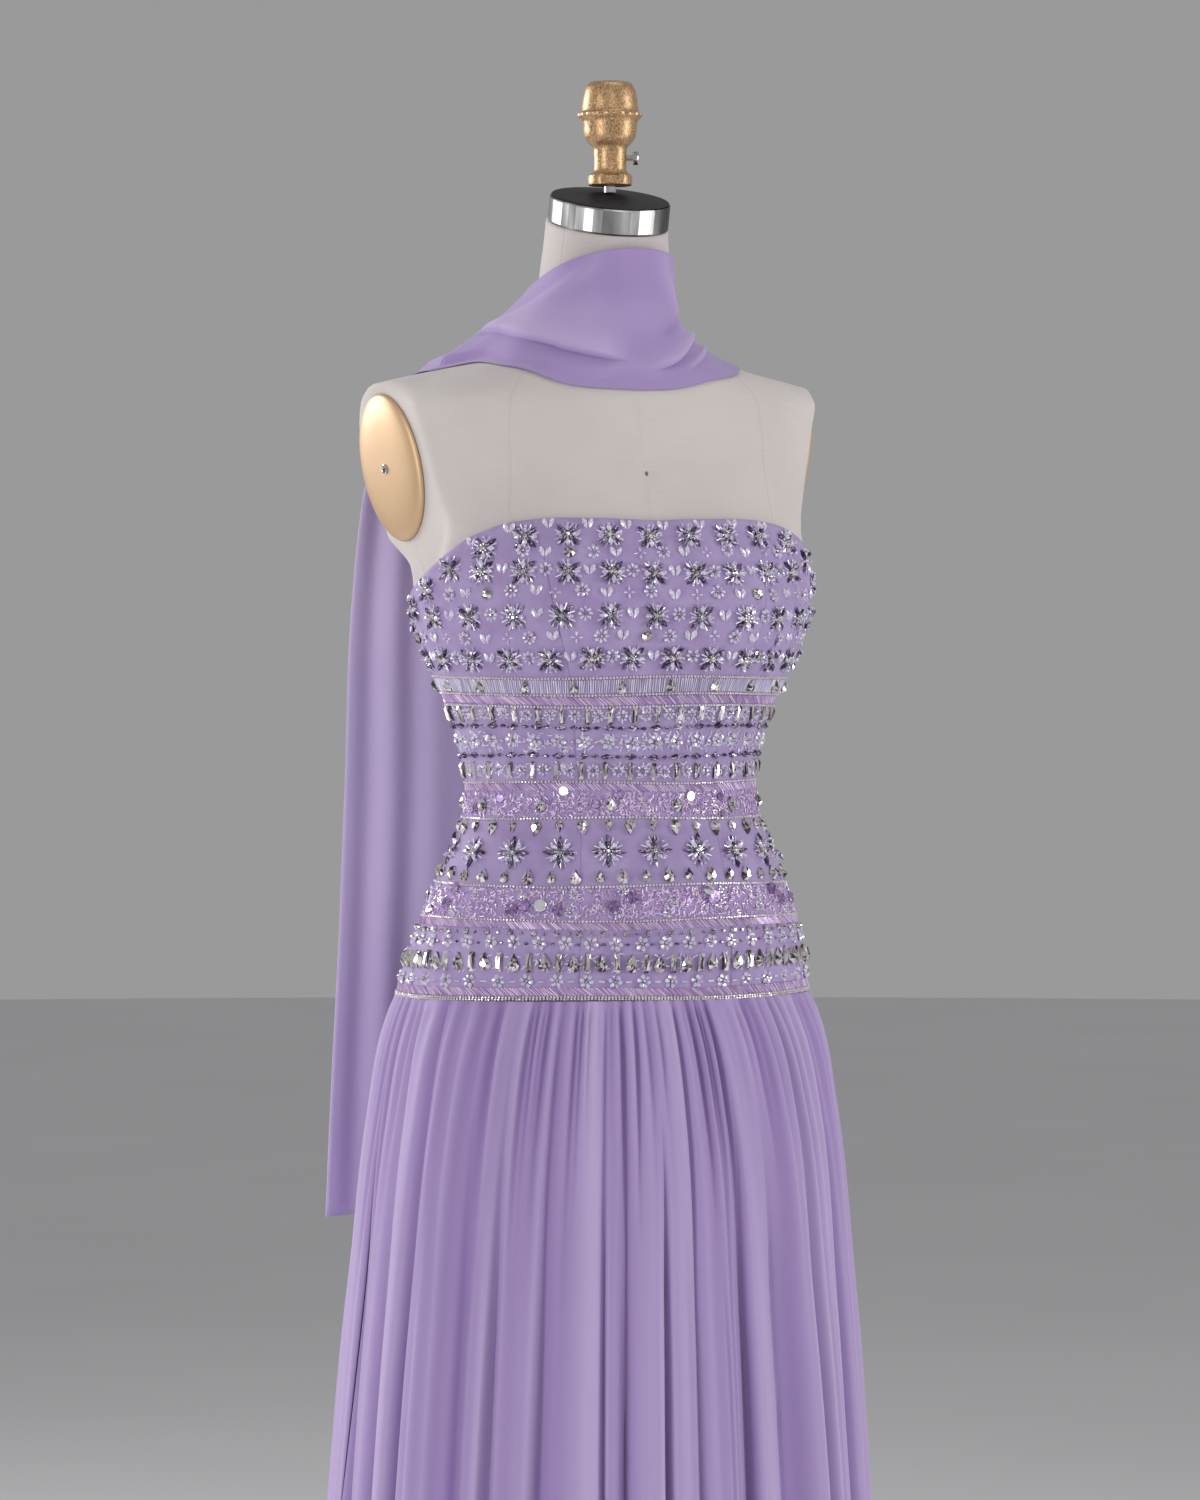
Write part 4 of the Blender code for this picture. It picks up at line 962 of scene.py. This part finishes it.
class Beads:
    """Many small beads gathered into one joined mesh."""

    def __init__(self):
        self.points, self.faces, self.facets, self.tones, self.count = [], [], [], [], 0

    def add(self, form, spots, size, turn=0.0, across=0.0, up=0.0, lift=0.0, wobble=0.07, tone=None):
        """One bead at each spot. Across and up move it on the cloth, and turn is in radians."""
        centre, u, v, n = spots
        count = len(centre)
        if not count:
            return
        tilt = chance.normal(0.0, wobble, (count, 2))
        n = unit(n + tilt[:, :1] * u + tilt[:, 1:] * v)
        u = unit(u - np.sum(u * n, axis=1, keepdims=True) * n)
        v = np.cross(n, u)
        turn = np.broadcast_to(turn, (count,)) + chance.normal(0.0, wobble * 0.6, count)
        c, s = np.cos(turn)[:, None], np.sin(turn)[:, None]
        centre = centre + np.reshape(across, (-1, 1)) * u + np.reshape(up, (-1, 1)) * v + lift * n
        u, v = c * u + s * v, c * v - s * u
        points, faces = form
        scaled = points[None] * np.broadcast_to(np.asarray(size, float), (count, 3))[:, None, :]
        placed = (centre[:, None] + scaled[..., :1] * u[:, None] + scaled[..., 1:2] * v[:, None]
                  + scaled[..., 2:] * n[:, None])
        start = self.count + np.arange(count)[:, None, None] * len(points)
        self.points.append(placed.reshape(-1, 3))
        self.faces.extend((start + faces[None]).reshape(-1, faces.shape[1]).tolist())
        # Painted reflection: a random tone for each facet, from dark facet to bright glint
        self.facets.append(chance.random(count * len(faces)))
        shade = chance.random(count) if tone is None else np.clip(chance.normal(tone, 0.08, count), 0, 1)
        self.tones.append(np.repeat(shade, len(faces)))
        self.count += count * len(points)

    def rays(self, form, spots, size, turns, reach, **options):
        """Beads that point outwards round each spot."""
        for turn in turns:
            self.add(form, spots, size, turn, -reach * math.sin(turn), reach * math.cos(turn), **options)

    def build(self, name, paint):
        marks = {"facet": ("FACE", np.concatenate(self.facets)),
                 "tone": ("FACE", np.concatenate(self.tones))}
        make(name, np.concatenate(self.points), self.faces, paint, smooth=False,
             marks=marks)


def stone(outline, table, girdle):
    """A cut stone of unit size over its outline: side, crown and flat table."""
    outline = np.array(outline, dtype=float)
    count = len(outline)
    rings = [(1.0, -0.12), (1.0, girdle), (table, 1.0)]
    points = [np.column_stack((outline * share, np.full(count, height))) for share, height in rings]
    points.append(np.array([[0.0, 0.0, 1.0]]))
    faces = [strip_faces(np.arange(count) + r * count, np.arange(count) + (r + 1) * count, True)
             for r in range(2)]
    top = np.arange(count) + 2 * count
    fan = np.stack((top, np.roll(top, -1), np.full(count, 3 * count)), axis=-1)
    quads = np.concatenate(faces)
    three = np.concatenate((quads[:, [0, 1, 2]], quads[:, [0, 2, 3]], fan))
    return np.concatenate(points), three


def rod(sides):
    """A bugle of unit length along +Y, with closed ends."""
    angle = 2 * math.pi * np.arange(sides) / sides
    ring = np.column_stack((0.5 * np.cos(angle), np.zeros(sides), 0.5 * np.sin(angle) + 0.3))
    points = np.concatenate((ring - (0, 0.5, 0), ring + (0, 0.5, 0), [[0, -0.5, 0.3], [0, 0.5, 0.3]]))
    low, high = np.arange(sides), np.arange(sides) + sides
    quads = strip_faces(low, high, True)
    ends = [np.stack((low, np.roll(low, -1), np.full(sides, 2 * sides)), -1)[:, ::-1],
            np.stack((high, np.roll(high, -1), np.full(sides, 2 * sides + 1)), -1)]
    faces = np.concatenate((quads[:, [0, 1, 2]], quads[:, [0, 2, 3]], *ends))
    return points, faces[:, ::-1]


def ring_outline(count):
    angle = 2 * math.pi * (np.arange(count) + 0.5) / count
    return np.column_stack((0.5 * np.cos(angle), 0.5 * np.sin(angle)))


def mirrored(*half):
    """A whole outline from the half of it on one side."""
    return [*half, *((-x, y) for x, y in half[::-1] if x > 0)]


ROUND = stone(ring_outline(10), 0.52, 0.35)
SEED = stone(ring_outline(6), 0.60, 0.55)
DISC = stone(ring_outline(14), 0.90, 0.5)
MARQUISE = stone(mirrored((0.0, -0.5), (0.30, -0.27), (0.5, 0.0), (0.30, 0.27), (0.0, 0.5)), 0.50, 0.35)
PEAR = stone(mirrored((0.0, -0.5), (0.36, -0.40), (0.5, -0.15), (0.34, 0.14), (0.0, 0.5)), 0.50, 0.35)
BAGUETTE = stone(mirrored((0.36, -0.5), (0.5, -0.45), (0.5, 0.45), (0.36, 0.5)), 0.62, 0.40)
PETAL = stone(mirrored((0.0, -0.5), (0.34, -0.20), (0.5, 0.15), (0.25, 0.42), (0.0, 0.5)), 0.45, 0.30)
BUGLE = rod(5)


def spots_at(angle, z):
    """Centres on the cloth with the ways across, up and out from it."""
    e = 0.004
    u = unit(form_points(angle + e, z, CLOTH_OUT) - form_points(angle - e, z, CLOTH_OUT))
    v = form_points(angle, z + 0.001, CLOTH_OUT) - form_points(angle, z - 0.001, CLOTH_OUT)
    n = unit(np.cross(u, v))
    return form_points(angle, z, CLOTH_OUT), u, np.cross(n, u), n


def from_zip(angle):
    """Distance round the bodice from the zip at the centre back."""
    return (math.pi - np.abs(angle)) * ZIP_RADIUS


def row(height, pitch, phase=0.0, margin=0.004, jitter=0.0004, gap=ZIP_HALF, follow=False):
    """Spots evenly spaced round the bodice at a height, or at that distance under its top edge."""
    fine = np.linspace(-math.pi, math.pi, 1441)
    z = top_edge(fine) - height if follow else np.full(fine.shape, float(height))
    line = form_points(fine, z, CLOTH_OUT)
    long = np.concatenate(([0.0], np.cumsum(np.linalg.norm(np.diff(line, axis=0), axis=1))))
    count = max(4, int(round(long[-1] / pitch)))
    places = (np.arange(count) + phase % 1.0) / count * long[-1] + chance.normal(0.0, jitter, count)
    angle = np.interp(places, long, fine)
    z = top_edge(angle) - height if follow else height + 0.0009 * np.sin(3 * angle + 40 * height)
    z = z + chance.normal(0.0, jitter * 0.6, count)
    keep = (follow | (z < top_edge(angle) - margin)) & (from_zip(angle) > gap)
    return spots_at(angle[keep], z[keep])


def every(spots, step, *which):
    """The spots that are at the given places in each run of so many."""
    keep = np.isin(np.arange(len(spots[0])) % step, which)
    return tuple(part[keep] for part in spots)


def strewn_spots(low, high, room, margin=0.0):
    """Spots strewn over a band, with a given room for each, and a turn for each."""
    count = int(BODICE_GIRTH * (high - low) / room)
    angle = chance.uniform(-math.pi, math.pi, count)
    z = chance.uniform(low + margin, high - margin, count)
    keep = from_zip(angle) > ZIP_HALF
    return spots_at(angle[keep], z[keep]), chance.uniform(0, math.pi, int(keep.sum()))


QUARTER = math.pi / 2
EIGHT = [k * math.pi / 4 for k in range(8)]


def cross_flower(spots, arm, straight):
    """Four dark marquise arms with clear petals between them round a crystal."""
    first = 0.0 if straight else math.pi / 4
    arms = [first + k * QUARTER for k in range(4)]
    between = [first + math.pi / 4 + k * QUARTER for k in range(4)]
    dark_beads.rays(MARQUISE, spots, (0.0044, arm, 0.0026), arms, arm * 0.5 + 0.0018,
                    lift=0.0005, wobble=0.14)
    clear_beads.rays(PETAL, spots, (0.0042, arm * 0.66, 0.0020), between, arm * 0.36 + 0.0016,
                     wobble=0.22, tone=0.7)
    for turn in arms:
        for way in (-0.40, 0.40):
            clear_beads.rays(BUGLE, spots, (0.0014, 0.0056, 0.0013), [turn + way], arm * 0.60 + 0.002,
                             tone=0.8)
    crystal_beads.add(ROUND, spots, (0.0044, 0.0044, 0.0032), lift=0.0008, tone=0.85)
    crystal_beads.rays(SEED, spots, (0.0018, 0.0018, 0.0018), arms + between, 0.0031, lift=0.0010,
                       tone=0.8)
    clear_beads.rays(SEED, spots, (0.0022, 0.0022, 0.0030), between, arm * 0.78, lift=0.0014, tone=0.9)


def floret(spots, size, store=None):
    """Eight small clear petals round a bead."""
    store = store or clear_beads
    store.rays(PETAL, spots, (size * 0.25, size * 0.34, 0.0018), EIGHT, size * 0.31, wobble=0.18,
               tone=0.5)
    crystal_beads.add(SEED, spots, (0.0024, 0.0024, 0.0020), tone=0.5)


def clear_flower(spots, size):
    """Six glass petals round a bead."""
    turns = [k * math.pi / 3 + 0.3 for k in range(6)]
    rainbow_beads.rays(PETAL, spots, (size * 0.34, size * 0.42, 0.0022), turns, size * 0.29, wobble=0.16)
    crystal_beads.add(SEED, spots, (0.0026, 0.0026, 0.0026), lift=0.0008, tone=0.7)


def double_drop(spots, size):
    for way in (-1, 1):
        clear_beads.add(PETAL, spots, (size * 0.50, size, 0.0022), way * 0.38, across=-way * size * 0.24,
                        tone=0.85)


def slanted(height, tall):
    """A band of thin lilac bugles laid aslant between two lines."""
    spots = row(height, 0.0022, jitter=0.0001)
    bugle_beads.add(BUGLE, spots, (0.0014, tall * 1.25, 0.0014), 0.80, wobble=0.03)


def seed_line(height):
    seed_beads.add(SEED, row(height, 0.0027, jitter=0.00012, gap=0.0015), (0.0023, 0.0023, 0.0019))


def vermicelli(low, high):
    """Short lilac bugles strewn over a band in all directions."""
    spots, turn = strewn_spots(low, high, 0.0000078, 0.0016)
    bugle_beads.add(BUGLE, spots, (0.0013, 0.0036, 0.0012), turn, wobble=0.10)
    seed_beads.add(SEED, every(spots, 9, 0), (0.0019, 0.0019, 0.0016), up=0.0015)


def strewn(low, high):
    """Small clear bugles strewn between the larger stones of a band."""
    spots, turn = strewn_spots(low, high, 0.0000240)
    clear_beads.add(BUGLE, spots, (0.0013, 0.0040, 0.0012), turn, wobble=0.12, tone=0.6)


def bead_top():
    """Crossed flowers, drops and florets above the bands."""
    cross_flower(row(0.0135, 0.0330, 0.30, follow=True), 0.0107, False)
    double_drop(row(0.0046, 0.0310, 0.70, follow=True), 0.0092)
    for height, phase, edge, pitch in ((1.2021, 0.78, 0.029, 0.0352), (1.1677, 0.30, 0.029, 0.0380),
                                       (1.1348, 0.78, 0.022, 0.0336)):
        cross_flower(row(height, pitch, phase, edge), 0.0107, False)
        side = row(height + 0.002, pitch, phase + 0.5, edge)
        double_drop(every(side, 2, 0), 0.0094)
        floret(every(side, 2, 1), 0.0126)
    for height, phase in ((1.2190, 0.1), (1.1865, 0.4), (1.1520, 0.2)):
        side = row(height, 0.0188, phase, 0.022, 0.0012)
        floret(every(side, 3, 0), 0.0128)
        double_drop(every(side, 3, 1), 0.0092)
        crystal_beads.add(ROUND, every(side, 12, 2), (0.0092, 0.0092, 0.0040), tone=0.05)
        clear_beads.rays(PETAL, every(side, 12, 5, 8, 11), (0.0022, 0.0042, 0.0014), EIGHT[::2], 0.0028)
    few = row(1.1375, 0.150, 0.62)
    crystal_beads.add(PEAR, few, (0.0082, 0.0118, 0.0036), tone=0.05)


def bead_bands():
    """Bands of stones, bugles and small flowers from under the bust to the hip."""
    for height in (1.1208, 1.1075, 1.0981, 1.0378, 1.0097, 0.9572, 0.9306, 0.8702, 0.8686):
        seed_line(height)
    clear_beads.add(BUGLE, row(1.1141, 0.0018, jitter=0.0001), (0.0013, 0.0112, 0.0013), wobble=0.03)
    pears = row(1.1137, 0.0380, 0.25)
    crystal_beads.add(PEAR, pears, (0.0074, 0.0106, 0.0044), lift=0.0008, tone=0.35)
    for height, tall in ((1.1028, 0.0076), (1.0340, 0.0062), (0.9268, 0.0064), (0.8745, 0.0070)):
        slanted(height, tall)
    for height in (1.0912, 1.0472):
        crystal_beads.add(BAGUETTE, row(height, 0.0192, 0.1), (0.0042, 0.0134, 0.0034), tone=0.25)
        floret(row(height, 0.0192, 0.6), 0.0112)
    for height in (1.0815, 1.0585):
        dark_beads.add(MARQUISE, row(height, 0.0192, 0.6), (0.0052, 0.0104, 0.0028), QUARTER)
        dark_beads.add(MARQUISE, row(height, 0.0192, 0.1), (0.0030, 0.0062, 0.0022), QUARTER)
        seed_beads.add(SEED, row(height, 0.0096, 0.35), (0.0018, 0.0018, 0.0016))
    for low, high in ((1.0858, 1.0968), (1.0622, 1.0778), (1.0420, 1.0530), (0.8905, 0.9045)):
        strewn(low, high)
    clear_flower(row(1.0702, 0.0192, 0.1), 0.0128)
    seed_beads.add(SEED, row(1.0702, 0.0192, 0.6), (0.0024, 0.0024, 0.0020))
    vermicelli(1.0100, 1.0312)
    crystal_beads.add(PEAR, row(1.0205, 0.0560, 0.4), (0.0082, 0.0116, 0.0040), lift=0.0008, tone=0.35)
    for pitch, phase, height in ((0.088, 0.15, 1.0262), (0.104, 0.6, 1.0180)):
        disc_beads.add(DISC, row(height, pitch, phase, 0.004, 0.004), (0.0068, 0.0068, 0.0008),
                       lift=0.0014, wobble=0.22)
    mirror_beads.add(DISC, row(1.0275, 0.118, 0.35, 0.004, 0.003), (0.0080, 0.0080, 0.0008),
                     lift=0.0016, wobble=0.22)
    upside = row(1.0022, 0.0188, 0.0)
    crystal_beads.add(PEAR, every(upside, 2, 0), (0.0094, 0.0124, 0.0044), math.pi, tone=0.35)
    crystal_beads.add(PEAR, every(upside, 2, 1), (0.0066, 0.0094, 0.0036), math.pi, up=0.0012, tone=0.25)
    cross_flower(row(0.9838, 0.0376, 0.5), 0.0124, True)
    upright = row(0.9650, 0.0188, 0.0)
    crystal_beads.add(PEAR, every(upright, 2, 0), (0.0098, 0.0124, 0.0046), tone=0.40)
    crystal_beads.add(PEAR, every(upright, 2, 1), (0.0074, 0.0102, 0.0038), tone=0.20)
    vermicelli(0.9308, 0.9570)
    for pitch, phase, height in ((0.075, 0.15, 0.9470), (0.085, 0.55, 0.9400), (0.120, 0.9, 0.9435)):
        disc_beads.add(DISC, row(height, pitch, phase, 0.004, 0.005), (0.0100, 0.0100, 0.0008),
                       lift=0.0016, wobble=0.22)
    mirror_beads.add(DISC, row(0.9450, 0.140, 0.30, 0.004, 0.005), (0.0098, 0.0098, 0.0008),
                     lift=0.0018, wobble=0.25)
    floret(row(0.9500, 0.040, 0.35, 0.004, 0.003), 0.0090, rainbow_beads)
    floret(row(0.9375, 0.045, 0.75, 0.004, 0.003), 0.0100, rainbow_beads)
    crystal_beads.add(ROUND, row(0.9207, 0.0185, 0.0), (0.0050, 0.0050, 0.0034), tone=0.3)
    crystal_beads.add(ROUND, row(0.9207, 0.0185, 0.5), (0.0030, 0.0030, 0.0024), tone=0.3)
    clear_flower(row(0.9130, 0.0200, 0.2), 0.0124)
    dark_beads.add(MARQUISE, row(0.9125, 0.0200, 0.7), (0.0024, 0.0046, 0.0016), QUARTER)
    crystal_beads.add(BAGUETTE, row(0.8975, 0.0232, 0.0), (0.0048, 0.0154, 0.0040), tone=0.35)
    crystal_beads.add(PEAR, row(0.8975, 0.0232, 0.5), (0.0102, 0.0146, 0.0048), tone=0.35)
    clear_flower(row(0.8828, 0.0230, 0.45), 0.0118)
    clear_beads.add(BUGLE, row(0.8826, 0.0230, 0.95), (0.0016, 0.0050, 0.0015), QUARTER)


crystal_beads, dark_beads, clear_beads, rainbow_beads = Beads(), Beads(), Beads(), Beads()
bugle_beads, seed_beads, disc_beads, mirror_beads = Beads(), Beads(), Beads(), Beads()


def light(name, place, aim_height, size, power):
    data = bpy.data.lights.new(name, "AREA")
    data.shape = "RECTANGLE"
    data.size, data.size_y = size
    data.energy = power
    made = bpy.data.objects.new(name, data)
    made.location = place
    way = Vector((0.0, 0.0, aim_height)) - Vector(place)
    made.rotation_euler = way.to_track_quat("-Z", "Y").to_euler()
    bpy.context.scene.collection.objects.link(made)


def build_stage():
    """Pale floor, soft studio light and the camera at the photo's angle."""
    p = Paint("pale_floor", 0.85)
    p.colour(p.ramp(p.noise(1.2), (0.3, (0.76, 0.76, 0.77)), (0.7, (0.79, 0.79, 0.80))))
    mesh = bpy.data.meshes.new("floor")
    turns = [2 * math.pi * k / 96 for k in range(96)]
    ring = [(FLOOR_RADIUS * math.cos(turn), FLOOR_RADIUS * math.sin(turn), 0.0) for turn in turns]
    mesh.from_pydata(ring, [], [tuple(range(96))])
    mesh.materials.append(p.made)
    floor = bpy.data.objects.new("floor", mesh)
    bpy.context.scene.collection.objects.link(floor)
    world = bpy.data.worlds.new("studio")
    world.use_nodes = True
    world.node_tree.nodes["Background"].inputs[0].default_value = (0.70, 0.70, 0.71, 1.0)
    world.node_tree.nodes["Background"].inputs[1].default_value = 0.46
    scene = bpy.context.scene
    scene.world = world
    scene.view_settings.view_transform = "Standard"
    for settings in LIGHTS:
        light(*settings)
    azimuth, pitch = math.radians(CAMERA_TURN_DEGREES), math.radians(CAMERA_TILT_DEGREES)
    back = Vector((math.sin(azimuth), -math.cos(azimuth), 0.0))
    side = Vector((math.cos(azimuth), math.sin(azimuth), 0.0))
    data = bpy.data.cameras.new("camera")
    data.lens, data.sensor_width = 135.0, 36.0
    data.clip_start, data.clip_end = 0.1, 100.0
    camera = bpy.data.objects.new("camera", data)
    camera.location = back * CAMERA_AWAY - side * CAMERA_SIDEWAYS + Vector((0.0, 0.0, CAMERA_HEIGHT))
    look = -back * math.cos(pitch) + Vector((0.0, 0.0, math.sin(pitch)))
    camera.rotation_euler = look.to_track_quat("-Z", "Y").to_euler()
    scene.collection.objects.link(camera)
    scene.camera = camera


build_stage()
repaint()
build_form()
build_fittings()
cloths = build_bodice() + build_skirt() + build_scarf()
bead_top()
bead_bands()
stores = (crystal_beads, dark_beads, clear_beads, rainbow_beads, bugle_beads, seed_beads, disc_beads,
          mirror_beads)
for store, (word, *look) in zip(stores, BEAD_PAINTS):
    store.build("beads_" + word, bead_paint(*look))
